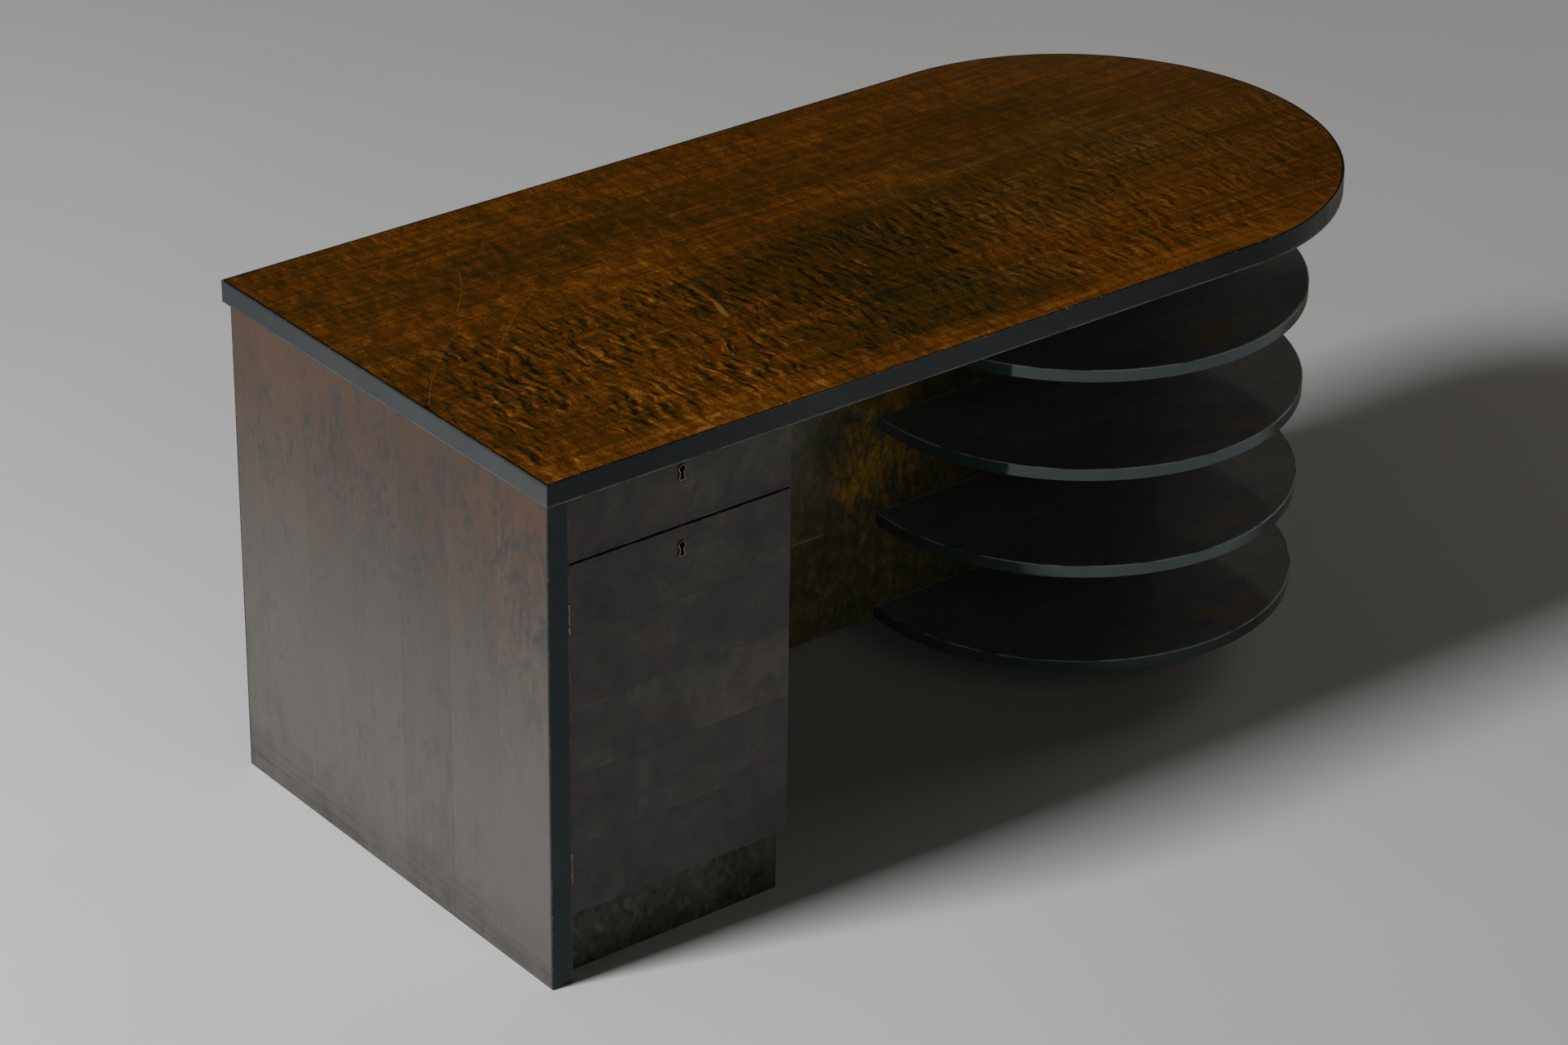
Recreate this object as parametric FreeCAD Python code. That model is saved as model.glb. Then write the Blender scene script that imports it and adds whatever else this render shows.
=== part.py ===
import FreeCAD, Part
import math
import os

# Captain's desk. A gable and a pedestal with a drawer over a cupboard carry the left end of the top.
# A stack of round shelves on a drum plinth carries its half-round right end.
# Millimetres. +X runs along the desk to its round end, +Y to the rear and +Z up. The user sits at -Y.
# The origin is on the floor under the middle of the top.

Vector = FreeCAD.Vector

# Whole desk
desk_length = 1600.0
desk_depth = 760.0
desk_height = 755.0

# Top
top_thickness = 33.0
top_veneer_thickness = 1.2
top_band_thickness = 3.0
top_band_arris = 0.8

# Left gable
gable_thickness = 33.0
gable_rear_setback = 21.0
gable_band_thickness = 3.0
gable_band_arris = 0.8

# Pedestal carcass
pedestal_width = 394.0
side_thickness = 20.0
board_thickness = 19.0
plinth_height = 104.0
plinth_thickness = 18.0
back_thickness = 12.0
back_setback = 12.0
housing_depth = 8.0

# Drawer front and door when closed
front_thickness = 22.0
front_setback = 2.4
front_arris = 0.6
front_side_gap = 1.5
front_middle_gap = 3.0
drawer_front_height = 90.0
drawer_front_top_gap = 1.0
divider_drop = 1.0
carcass_gap = 0.6

# Cupboard shelf and its pegs
cupboard_shelf_thickness = 18.0
cupboard_shelf_setback = 25.0
cupboard_shelf_gap = 0.8
cupboard_shelf_rise_share = 0.48
peg_radius = 3.0
peg_sides = 8
peg_let_in = 10.0
peg_reach = 12.0
peg_gap = 0.2
peg_place_shares = (0.12, 0.88)

# Middle panel
panel_thickness = 22.0
panel_offset = 36.0
panel_reach = 220.0
panel_band_thickness = 3.0

# Round shelves and their drum plinth
shelf_count = 4
shelf_overhang = 40.0
shelf_thickness = 19.0
shelf_pitch = 156.0
shelf_floor_gap = 88.0
shelf_band_thickness = 2.5
drum_radius = 170.0
drum_wall = 20.0
drum_staves = 24

# Dowels between the top and what carries it
dowel_radius = 5.0
dowel_sides = 6
dowel_length = 40.0
dowel_in_top = 18.0
dowel_fit = 0.05
dowel_end_gap = 1.0
gable_dowel_shares = (0.1, 0.37, 0.63, 0.9)
side_dowel_shares = (0.15, 0.5, 0.85)
panel_dowel_shares = (0.1, 0.37, 0.63, 0.9)

# Drawer box
drawer_box_depth = 600.0
drawer_box_height = 78.0
drawer_side_thickness = 12.0
drawer_back_thickness = 12.0
drawer_bottom_thickness = 6.0
drawer_groove_depth = 5.0
drawer_groove_rise = 8.0
drawer_running_gap = 0.3
dovetail_lap = 6.0
tail_count = 3
tail_neck_share = 0.4
tail_tip_share = 0.62
slide_depth = 9.0
slide_neck_share = 0.45
slide_tip_share = 0.8

# Locks, alike on the drawer and the door
lock_width = 56.0
lock_depth = 11.0
lock_rise = 8.2
lock_fall = 24.0
lock_clearance = 1.0
lock_plate = 2.0
lock_wall = 2.0
lock_cap_thickness = 1.5
lock_cavity_width = 36.0
lock_pin_radius = 1.5
lock_pin_sides = 10
lock_pin_setback = 1.0
lock_screw_places = ((-23.0, -17.0), (23.0, -17.0), (-23.0, 2.0), (23.0, 2.0))
lock_screw_radius = 1.4
lock_screw_sides = 6
lock_screw_grip = 10.0
lock_screw_head_radius = 2.8
lock_screw_head_height = 1.6

# Lock bolts
bolt_width = 20.0
bolt_flange_width = 30.0
bolt_thickness = 4.6
bolt_fit = 0.3
bolt_travel = 7.0
bolt_window_width = 10.0
bolt_window_rise = 3.0
bolt_window_fall = 13.0
mortise_room = 0.8
mortise_depth_room = 1.5

# Keyhole liners
liner_depth = 8.0
liner_proud = 2.0
liner_wall = 1.6
liner_head_radius = 6.0
liner_drop = 16.4
liner_neck_width = 6.8
liner_skirt_width = 10.4

# Door hinges
hinge_height = 46.0
upper_hinge_drop = 78.0
lower_hinge_rise = 73.5
hinge_proud = 0.4
knuckle_count = 3
knuckle_radius = 2.0
knuckle_sides = 16
knuckle_gap = 0.2
knuckle_room = 0.3
hinge_pin_radius = 1.1
hinge_pin_sides = 12
hinge_pin_fit = 0.05
leaf_thickness = 1.5
leaf_width = 19.0
leaf_gap = 0.1
hinge_screw_place = 11.0
hinge_screw_spread_share = 0.56
hinge_screw_head_radius = 2.5
hinge_screw_radius = 1.2
hinge_screw_sides = 8
hinge_screw_grip = 13.0

# Cutting tools run this far past a face
overrun = 5.0

# Faces and heights that several pieces share
left = -desk_length / 2
front = -desk_depth / 2
rear = desk_depth / 2
top_under = desk_height - top_thickness
round_radius = desk_depth / 2
round_x = desk_length / 2 - round_radius
gable_inner = left + gable_thickness
gable_rear = rear - gable_rear_setback
pedestal_right = left + pedestal_width
side_inner = pedestal_right - side_thickness
fronts_face = front + front_setback
fronts_back = fronts_face + front_thickness
carcass_front = fronts_back + carcass_gap
back_rear = gable_rear - back_setback
back_front = back_rear - back_thickness
bottom_top = plinth_height + board_thickness
drawer_front_top = top_under - drawer_front_top_gap
drawer_front_bottom = drawer_front_top - drawer_front_height
divider_top = drawer_front_bottom - divider_drop
divider_bottom = divider_top - board_thickness
door_top = drawer_front_bottom - front_middle_gap
door_bottom = plinth_height
front_left = gable_inner + front_side_gap
key_x = (front_left + pedestal_right) / 2
drawer_key_z = top_under - lock_clearance - lock_rise
door_key_z = divider_bottom - lock_clearance - lock_rise
panel_front = panel_offset
panel_rear = panel_front + panel_thickness
panel_left = pedestal_right - housing_depth
panel_right = round_x + panel_reach
shelf_radius = round_radius - shelf_overhang


def slab(x_span, y_span, z_span):
    """Box between two limits along each axis."""
    corner = Vector(x_span[0], y_span[0], z_span[0])
    return Part.makeBox(
        x_span[1] - x_span[0], y_span[1] - y_span[0], z_span[1] - z_span[0], corner)


def ring_of_points(radius, centre, along, sides):
    """Corners of a regular polygon round a centre, square to a direction."""
    turn = FreeCAD.Rotation(Vector(0, 0, 1), along)
    angles = [2 * math.pi * number / sides for number in range(sides)]
    return [centre + turn.multVec(Vector(radius * math.cos(a), radius * math.sin(a), 0)) for a in angles]


def peg(radius, start, end, sides):
    """Faceted bar from one point to another, for pins and shanks that are mostly buried."""
    return prism(ring_of_points(radius, start, end - start, sides), end - start)


def countersink(wide, narrow, start, end, sides):
    """Faceted taper from a wide end to a narrow one."""
    rims = [ring_of_points(radius, centre, end - start, sides)
            for radius, centre in ((wide, start), (narrow, end))]
    outlines = list(rims)
    for number in range(sides):
        outlines.append([rims[0][number - 1], rims[0][number], rims[1][number], rims[1][number - 1]])
    faces = [Part.Face(Part.makePolygon(points + points[:1])) for points in outlines]
    return Part.makeSolid(Part.makeShell(faces))


def prism(points, along):
    """Flat polygon swept along a vector."""
    return Part.Face(Part.makePolygon(points + points[:1])).extrude(along)


def joined(shapes):
    """Shapes fused into one solid with no seams left on flat faces."""
    return shapes[0].multiFuse(shapes[1:]).removeSplitter()


def eased(shape, size, wanted):
    """Shape with a small chamfer on the edges that the test picks."""
    return shape.makeChamfer(size, [edge for edge in shape.Edges if wanted(edge.BoundBox)])


def same(first, second):
    """Whether two places along an axis are one, allowing for rounding."""
    return math.isclose(first, second, rel_tol=0, abs_tol=front_arris / 100)


def save(node, shape):
    """Write one node; a list of solids goes into one file as a group."""
    if isinstance(shape, list):
        shape = Part.makeCompound(shape)
    shape.exportStep("parts/" + node + ".step")


def top_face(inset, height):
    """The top's outline, half-round at its right end, drawn in by an inset."""
    radius = round_radius - inset
    corners = [
        Vector(round_x, radius, height),
        Vector(left + inset, radius, height),
        Vector(left + inset, -radius, height),
        Vector(round_x, -radius, height),
    ]
    edges = [Part.makeLine(a, b) for a, b in zip(corners, corners[1:])]
    tip = Vector(round_x + radius, 0, height)
    edges.append(Part.Arc(corners[-1], tip, corners[0]).toShape())
    return Part.Face(Part.Wire(edges))


def keyhole(key_z, shrink, y_span):
    """Keyhole-shaped bar: a round head over a flared skirt, drawn in all round by shrink."""
    along = Vector(0, y_span[1] - y_span[0], 0)
    head = Part.makeCylinder(
        liner_head_radius - shrink, along.Length, Vector(key_x, y_span[0], key_z), along)
    neck = liner_neck_width / 2 - shrink
    skirt = liner_skirt_width / 2 - shrink
    foot = key_z - liner_drop + shrink
    points = [
        Vector(key_x - neck, y_span[0], key_z),
        Vector(key_x - skirt, y_span[0], foot),
        Vector(key_x + skirt, y_span[0], foot),
        Vector(key_x + neck, y_span[0], key_z),
    ]
    return joined([head, prism(points, along)])


def tails(x_span, root_y, tip_y, z_span):
    """Row of dovetails on the end of a drawer side."""
    pitch = (z_span[1] - z_span[0]) / tail_count
    neck = pitch * tail_neck_share / 2
    tip = pitch * tail_tip_share / 2
    row = []
    for number in range(tail_count):
        middle = z_span[0] + pitch * (number + 0.5)
        points = [
            Vector(x_span[0], root_y, middle - neck),
            Vector(x_span[0], tip_y, middle - tip),
            Vector(x_span[0], tip_y, middle + tip),
            Vector(x_span[0], root_y, middle + neck),
        ]
        row.append(prism(points, Vector(x_span[1] - x_span[0], 0, 0)))
    return row


def lock(key_z):
    """Case, cap with drill pin, bolt and screws of a lock behind a front, its bolt drawn in."""
    inner_face = fronts_back
    case_back = inner_face + lock_depth
    low = key_z - lock_fall
    high = key_z + lock_rise
    ceiling = high - lock_wall
    bolt_front = inner_face + lock_plate + bolt_fit
    bolt_back = bolt_front + bolt_thickness
    width = (key_x - lock_width / 2, key_x + lock_width / 2)
    half_neck = bolt_width / 2
    half_flange = bolt_flange_width / 2
    half_cavity = lock_cavity_width / 2
    half_window = bolt_window_width / 2

    screws = []
    for across, up in lock_screw_places:
        head = Vector(key_x + across, case_back + lock_cap_thickness, key_z + up)
        head_top = head + Vector(0, lock_screw_head_height, 0)
        tip = Vector(head.x, inner_face - lock_screw_grip, head.z)
        screws.append(joined([peg(lock_screw_head_radius, head, head_top, lock_screw_sides),
                              peg(lock_screw_radius, tip, head, lock_screw_sides)]))

    case = slab(width, (inner_face, case_back), (low, high))
    case = case.cut([
        slab((key_x - half_cavity, key_x + half_cavity),
             (inner_face + lock_plate, case_back), (low + lock_wall, ceiling)),
        slab((key_x - half_neck - bolt_fit, key_x + half_neck + bolt_fit),
             (bolt_front - bolt_fit, bolt_back + bolt_fit), (ceiling, high + overrun)),
        keyhole(key_z, liner_wall, (inner_face - overrun, inner_face + lock_plate)),
    ] + screws)

    pin = peg(lock_pin_radius, Vector(key_x, inner_face + lock_pin_setback, key_z),
              Vector(key_x, case_back + lock_cap_thickness, key_z), lock_pin_sides)
    cap = slab(width, (case_back, case_back + lock_cap_thickness), (low, high))
    cap = joined([cap.cut(screws), pin])

    shoulder = ceiling - bolt_travel - bolt_fit
    thickness = (bolt_front, bolt_back)
    bolt = joined([
        slab((key_x - half_neck, key_x + half_neck), thickness, (shoulder, high)),
        slab((key_x - half_flange, key_x + half_flange), thickness,
             (low + lock_wall + bolt_fit, shoulder)),
    ])
    bolt = bolt.cut(slab((key_x - half_window, key_x + half_window), thickness,
                         (key_z - bolt_window_fall, key_z + bolt_window_rise)))
    return case, cap, bolt, screws


def bolt_mortise(key_z, under):
    """Room for a thrown bolt in the underside of the board over the lock."""
    bolt_front = fronts_back + lock_plate + bolt_fit
    half = bolt_width / 2 + mortise_room
    tip = key_z + lock_rise + bolt_travel + mortise_depth_room
    return slab((key_x - half, key_x + half),
                (bolt_front - mortise_room, bolt_front + bolt_thickness + mortise_room),
                (under - overrun, tip))


def liner(key_z):
    """Brass keyhole liner let into a front, its rim standing a little proud."""
    depth = (fronts_face - liner_proud, fronts_face + liner_depth)
    return keyhole(key_z, 0, depth).cut(keyhole(key_z, liner_wall, depth))


def bored_front(board, key_z):
    """Front board with a keyhole through to the lock, the liner's own size."""
    return board.cut(keyhole(key_z, 0, (fronts_face - overrun, fronts_back + overrun)))


def front_board(x_span, z_span):
    """Plain front board with its outer arrises eased."""
    board = slab(x_span, (fronts_face, fronts_back), z_span)
    return eased(board, front_arris,
                 lambda box: same(box.YMin, fronts_face) and same(box.YMax, fronts_face))


hinge_x = gable_inner + front_side_gap / 2
hinge_y = fronts_face - hinge_proud
hinge_middles = {"upper": door_top - upper_hinge_drop, "lower": door_bottom + lower_hinge_rise}


def knuckle_spans(middle, first):
    """Heights of every second knuckle of a hinge, from the given one."""
    pitch = hinge_height / knuckle_count
    low = middle - hinge_height / 2
    return [(low + pitch * number + knuckle_gap / 2, low + pitch * (number + 1) - knuckle_gap / 2)
            for number in range(first, knuckle_count, 2)]


def hinge_bar(radius, z_span, sides):
    """Faceted bar on the hinge axis."""
    return peg(radius, Vector(hinge_x, hinge_y, z_span[0]), Vector(hinge_x, hinge_y, z_span[1]), sides)


def hinge_leaf(middle, way, first):
    """Leaf on one side of the hinge axis (way -1 gable, +1 door) and its two countersunk screws."""
    height = (middle - hinge_height / 2, middle + hinge_height / 2)
    gap_face = hinge_x + way * leaf_gap
    wood_face = gap_face + way * leaf_thickness
    depth = (hinge_y, hinge_y + leaf_width)
    plate = slab(sorted((gap_face, wood_face)), depth, height)
    own = knuckle_spans(middle, first)
    other = knuckle_spans(middle, 1 - first)
    reach = knuckle_radius + knuckle_room
    room = [slab((hinge_x - reach, hinge_x + reach), (hinge_y - reach, hinge_y + reach),
                 (low - knuckle_gap, high + knuckle_gap)) for low, high in other]
    plate = plate.cut(room)
    leaf = joined([plate] + [hinge_bar(knuckle_radius, span, knuckle_sides) for span in own])
    bore_corner = (hinge_pin_radius + hinge_pin_fit) / math.cos(math.pi / hinge_pin_sides)
    leaf = leaf.cut(hinge_bar(bore_corner, (height[0] - overrun, height[1] + overrun), hinge_pin_sides))
    screws = []
    for side in (-1, 1):
        up = middle + side * hinge_height * hinge_screw_spread_share / 2
        start = Vector(gap_face, hinge_y + hinge_screw_place, up)
        seat = Vector(wood_face, start.y, up)
        end = seat + Vector(way * hinge_screw_grip, 0, 0)
        cone = countersink(hinge_screw_head_radius, hinge_screw_radius, start, seat, hinge_screw_sides)
        screws.append(joined([cone, peg(hinge_screw_radius, seat, end, hinge_screw_sides)]))
    return leaf.cut(screws), screws


def hinge_room(middle, way):
    """What the wood on one side of a hinge loses: a shallow bed for the leaf, a notch for the knuckles."""
    height = (middle - hinge_height / 2, middle + hinge_height / 2)
    wood_face = hinge_x + way * (leaf_gap + leaf_thickness)
    bed = slab(sorted((hinge_x, wood_face)), (hinge_y, hinge_y + leaf_width), height)
    reach = knuckle_radius + knuckle_room
    notch = slab(sorted((hinge_x, hinge_x + way * reach)), (hinge_y - reach, hinge_y + reach), height)
    return [bed, notch]


os.makedirs("parts", exist_ok=True)

# Hinges
gable_screws = []
door_screws = []
gable_hinge_room = []
door_hinge_room = []
for name, middle in hinge_middles.items():
    gable_leaf, screws = hinge_leaf(middle, -1, 0)
    gable_screws += screws
    door_leaf, screws = hinge_leaf(middle, 1, 1)
    door_screws += screws
    gable_hinge_room += hinge_room(middle, -1)
    door_hinge_room += hinge_room(middle, 1)
    save(name + "_gable_leaf", gable_leaf)
    save(name + "_door_leaf", door_leaf)
    save(name + "_hinge_pin",
         hinge_bar(hinge_pin_radius, (middle - hinge_height / 2, middle + hinge_height / 2),
                   hinge_pin_sides))
save("gable_hinge_screws", gable_screws)
save("door_hinge_screws", door_screws)

# Dowels, part way up into the top
dowel_spots = []
gable_middle = left + gable_thickness / 2
side_middle = side_inner + side_thickness / 2
panel_middle = panel_front + panel_thickness / 2
for share in gable_dowel_shares:
    dowel_spots.append((gable_middle, front + share * (gable_rear - front)))
for share in side_dowel_shares:
    dowel_spots.append((side_middle, carcass_front + share * (gable_rear - carcass_front)))
for share in panel_dowel_shares:
    dowel_spots.append((pedestal_right + share * (panel_right - pedestal_right), panel_middle))
dowel_top = top_under + dowel_in_top
dowel_foot = dowel_top - dowel_length
dowels = []
dowel_holes = []
for x, y in dowel_spots:
    dowels.append(peg(dowel_radius, Vector(x, y, dowel_foot), Vector(x, y, dowel_top), dowel_sides))
    dowel_holes.append(peg(dowel_radius + dowel_fit, Vector(x, y, dowel_foot - dowel_end_gap),
                           Vector(x, y, dowel_top + dowel_end_gap), dowel_sides))
save("top_dowels", dowels)

# Top
veneer_under = desk_height - top_veneer_thickness
core = top_face(top_band_thickness, top_under).extrude(Vector(0, 0, veneer_under - top_under))
core = core.cut(dowel_holes + [bolt_mortise(drawer_key_z, top_under)])
save("top_core", core)
veneer = top_face(top_band_thickness, veneer_under).extrude(Vector(0, 0, top_veneer_thickness))
save("top_veneer", veneer)
rise = Vector(0, 0, top_thickness)
band = eased(top_face(0, top_under).extrude(rise), top_band_arris,
             lambda box: same(box.ZMin, box.ZMax))
save("top_edge_band", band.cut(top_face(top_band_thickness, top_under).extrude(rise)))

# Boards housed in the gable and the pedestal side
housed = (gable_inner - housing_depth, side_inner + housing_depth)
board_depth = (carcass_front, back_front)
bottom = slab(housed, board_depth, (plinth_height, bottom_top))
divider = slab(housed, board_depth, (divider_bottom, divider_top))
back = slab(housed, (back_front, back_rear), (plinth_height, top_under))
save("pedestal_bottom", bottom)
save("pedestal_divider", divider.cut(bolt_mortise(door_key_z, divider_bottom)))
save("pedestal_back", back)

# Plinth boards between the gable and the pedestal side
between = (gable_inner, side_inner)
save("plinth_front", slab(between, (carcass_front, carcass_front + plinth_thickness),
                          (0, plinth_height)))
save("plinth_rear", slab(between, (back_rear - plinth_thickness, back_rear), (0, plinth_height)))

# Cupboard shelf on its pegs
shelf_under = bottom_top + cupboard_shelf_rise_share * (divider_bottom - bottom_top)
shelf_depth = (carcass_front + cupboard_shelf_setback, back_front - cupboard_shelf_gap)
save("cupboard_shelf", slab(
    (gable_inner + cupboard_shelf_gap, side_inner - cupboard_shelf_gap), shelf_depth,
    (shelf_under, shelf_under + cupboard_shelf_thickness)))
peg_z = shelf_under - peg_gap - peg_radius
pegs = []
for share in peg_place_shares:
    y = shelf_depth[0] + share * (shelf_depth[1] - shelf_depth[0])
    for face, way in ((gable_inner, 1), (side_inner, -1)):
        pegs.append(peg(peg_radius, Vector(face - way * peg_let_in, y, peg_z),
                        Vector(face + way * peg_reach, y, peg_z), peg_sides))
save("shelf_pegs", pegs)

# Left gable with its lippings
gable_span = (left, gable_inner)
gable_front = front + gable_band_thickness
gable = slab(gable_span, (gable_front, gable_rear - gable_band_thickness), (0, top_under))
gable = gable.cut([bottom, divider, back] + pegs + dowel_holes + gable_hinge_room + gable_screws)
save("left_gable", gable)
strip = slab(gable_span, (front, gable_front), (0, top_under))
strip = eased(strip, gable_band_arris, lambda box: same(box.YMax, front) and box.ZLength > gable_thickness)
save("gable_front_band", strip.cut(gable_hinge_room))
strip = slab(gable_span, (gable_rear - gable_band_thickness, gable_rear), (0, top_under))
strip = eased(strip, gable_band_arris,
              lambda box: same(box.YMin, gable_rear) and box.ZLength > gable_thickness)
save("gable_rear_band", strip)

# Middle panel with its end lipping
panel_face = (panel_front, panel_rear)
panel_height = (shelf_floor_gap, top_under)
panel = slab((panel_left, panel_right - panel_band_thickness), panel_face, panel_height)
save("modesty_panel", panel.cut(dowel_holes))
save("panel_end_band", slab((panel_right - panel_band_thickness, panel_right), panel_face, panel_height))

# Pedestal side
side = slab((side_inner, pedestal_right), (carcass_front, gable_rear), (0, top_under))
save("pedestal_side", side.cut([bottom, divider, back, panel] + pegs + dowel_holes))

# Round shelves, slotted to slide over the panel's end, and their lippings
for number in range(shelf_count):
    under = shelf_floor_gap + shelf_pitch * number
    foot = Vector(round_x, 0, under)
    slot = slab((round_x - shelf_radius - overrun, panel_right), panel_face,
                (under - overrun, under + shelf_thickness + overrun))
    disc = Part.makeCylinder(shelf_radius - shelf_band_thickness, shelf_thickness, foot)
    ring = Part.makeCylinder(shelf_radius, shelf_thickness, foot)
    save("round_shelf_%d" % (number + 1), disc.cut(slot))
    save("shelf_band_%d" % (number + 1), ring.cut([disc, slot]))

# Drum plinth, built up of upright staves
floor_centre = Vector(round_x, 0, 0)
drum_head = Vector(round_x, 0, shelf_floor_gap)
save("round_plinth", peg(drum_radius, floor_centre, drum_head, drum_staves).cut(
    peg(drum_radius - drum_wall, floor_centre, drum_head, drum_staves)))

# Door with its lock
case, cap, bolt, screws = lock(door_key_z)
door = front_board((front_left, pedestal_right), (door_bottom, door_top))
door = bored_front(door, door_key_z).cut(door_hinge_room + door_screws + screws)
save("cupboard_door", door)
save("door_escutcheon", liner(door_key_z))
save("door_lock_case", case)
save("door_lock_cap", cap)
save("door_bolt", bolt)
save("door_lock_screws", screws)

# Drawer box
drawer_right = side_inner - front_side_gap
box_rear = fronts_back + drawer_box_depth
box_z = (divider_top + drawer_running_gap, divider_top + drawer_running_gap + drawer_box_height)
left_x = (front_left, front_left + drawer_side_thickness)
right_x = (drawer_right - drawer_side_thickness, drawer_right)
bottom_z = (box_z[0] + drawer_groove_rise, box_z[0] + drawer_groove_rise + drawer_bottom_thickness)
tray = slab((left_x[1] - drawer_groove_depth, right_x[0] + drawer_groove_depth),
            (fronts_back - drawer_groove_depth, box_rear), bottom_z)
back_y = (box_rear - drawer_back_thickness, box_rear)
back_z = (bottom_z[1], box_z[1])


def side_pieces(x_span):
    """Drawer side and the dovetails at its rear end, before they are fused."""
    return [
        slab(x_span, (fronts_back, back_y[0]), box_z),
        slab(x_span, back_y, (box_z[0], back_z[0])),
    ] + tails(x_span, back_y[0], back_y[1], back_z)


front_tails = tails(left_x, fronts_back, fronts_face + dovetail_lap, box_z)
left_side = joined(side_pieces(left_x) + front_tails).cut(tray)
middle_x = (right_x[0] + right_x[1]) / 2
neck = drawer_side_thickness * slide_neck_share / 2
tip = drawer_side_thickness * slide_tip_share / 2
tongue = prism([
    Vector(middle_x - neck, fronts_back, box_z[0]),
    Vector(middle_x - tip, fronts_back - slide_depth, box_z[0]),
    Vector(middle_x + tip, fronts_back - slide_depth, box_z[0]),
    Vector(middle_x + neck, fronts_back, box_z[0]),
], Vector(0, 0, drawer_box_height))
right_side = joined(side_pieces(right_x) + [tongue]).cut(tray)
rear_board = slab((left_x[0], right_x[1]), back_y, back_z).cut([left_side, right_side])
save("drawer_left_side", left_side)
save("drawer_right_side", right_side)
save("drawer_back", rear_board)
save("drawer_bottom", tray)

# Drawer front with its lock
case, cap, bolt, screws = lock(drawer_key_z)
board = front_board((front_left, pedestal_right), (drawer_front_bottom, drawer_front_top))
board = bored_front(board, drawer_key_z).cut([left_side, right_side, tray] + screws)
save("drawer_front", board)
save("drawer_escutcheon", liner(drawer_key_z))
save("drawer_lock_case", case)
save("drawer_lock_cap", cap)
save("drawer_bolt", bolt)
save("drawer_lock_screws", screws)
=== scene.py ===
import math

import bmesh
import bpy
from mathutils import Matrix, Vector


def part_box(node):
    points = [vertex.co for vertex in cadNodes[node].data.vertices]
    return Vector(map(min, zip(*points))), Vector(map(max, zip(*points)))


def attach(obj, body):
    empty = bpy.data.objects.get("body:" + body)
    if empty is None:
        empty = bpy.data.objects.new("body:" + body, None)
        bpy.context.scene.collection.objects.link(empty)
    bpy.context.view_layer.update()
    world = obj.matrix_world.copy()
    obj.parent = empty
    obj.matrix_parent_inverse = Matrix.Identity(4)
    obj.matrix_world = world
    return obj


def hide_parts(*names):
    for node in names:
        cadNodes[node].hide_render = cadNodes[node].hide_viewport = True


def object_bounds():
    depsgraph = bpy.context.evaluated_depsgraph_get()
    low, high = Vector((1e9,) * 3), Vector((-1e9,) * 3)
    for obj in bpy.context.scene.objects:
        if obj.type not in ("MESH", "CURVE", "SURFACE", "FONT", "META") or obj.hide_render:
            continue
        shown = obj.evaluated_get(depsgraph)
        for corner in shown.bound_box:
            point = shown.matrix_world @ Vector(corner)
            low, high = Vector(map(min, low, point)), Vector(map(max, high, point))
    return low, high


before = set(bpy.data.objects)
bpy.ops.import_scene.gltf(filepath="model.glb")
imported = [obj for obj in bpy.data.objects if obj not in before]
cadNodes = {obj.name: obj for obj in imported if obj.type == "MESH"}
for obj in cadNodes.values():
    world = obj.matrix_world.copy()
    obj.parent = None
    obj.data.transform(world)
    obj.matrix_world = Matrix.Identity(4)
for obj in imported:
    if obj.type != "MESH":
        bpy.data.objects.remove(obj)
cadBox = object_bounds()
origin = (0, 0, 0)
print("frame loaded:", len(cadNodes), "nodes")


# Stage: camera, floor and light

cameraSetup = {
    "place": (-3.98024, -4.87006, 3.62057),
    "yaw": 38.419,  # degrees clockwise from +Y
    "pitch": 27.934,  # degrees below level
    "roll": 0.724,
    "lens": 113.35,
    "sensor": 36.0,
}

keyLight = {
    "elevation": 38.5,
    "behind": 6.2,  # degrees round towards the rear from straight left
    "distance": 9.5,
    "size": 1.8,
    "level": 1.28,  # 1 shows a colour as written on a face square to the lamp
    "colour": (1.0, 1.0, 1.0),
}

fillLight = {
    "elevation": 25.0,
    "behind": 180.0,  # from straight right
    "distance": 6.0,
    "size": 3.0,
    "level": 0.113,
    "colour": (1.0, 0.92, 0.78),
}

frontLight = {
    "elevation": 24.0,
    "behind": 285.0,  # from the front, so the open shelves aren't lost
    "distance": 7.0,
    "size": 4.0,
    "level": 0.053,
    "colour": (1.0, 0.96, 0.72),
}

studio = {
    "floorSize": 60.0,
    "floorCells": 8,
    "floorColour": (0.46, 0.46, 0.465, 1),
    "wall": 0.18,  # grey of the room near the horizon
    "ceiling": 0.004,
    "wallTop": (0.12, 0.26),
}

reflectionGlowCard = {  # glows, though it is no lamp: stands behind the desk, out of sight, and shows only in the polished shelves as a painted reflection
    "away": 1.2,
    "aside": 0.5,
    "width": 2.4,
    "height": 0.985,
    "cells": 4,
    "facing": 41.3,  # degrees clockwise from +Y
    "colour": (0.076, 0.068, 0.048, 1),
}


def addToScene(name, data):
    made = bpy.data.objects.new(name, data)
    bpy.context.scene.collection.objects.link(made)
    return made


def makeCamera(setup):
    data = bpy.data.cameras.new("camera")
    data.lens = setup["lens"]
    data.sensor_width = setup["sensor"]
    data.sensor_fit = "HORIZONTAL"
    camera = addToScene("camera", data)
    turn = Matrix.Rotation(-math.radians(setup["yaw"]), 4, "Z")
    turn @= Matrix.Rotation(math.radians(90 - setup["pitch"]), 4, "X")
    turn @= Matrix.Rotation(math.radians(setup["roll"]), 4, "Z")
    camera.matrix_world = Matrix.Translation(setup["place"]) @ turn
    bpy.context.scene.camera = camera


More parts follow.
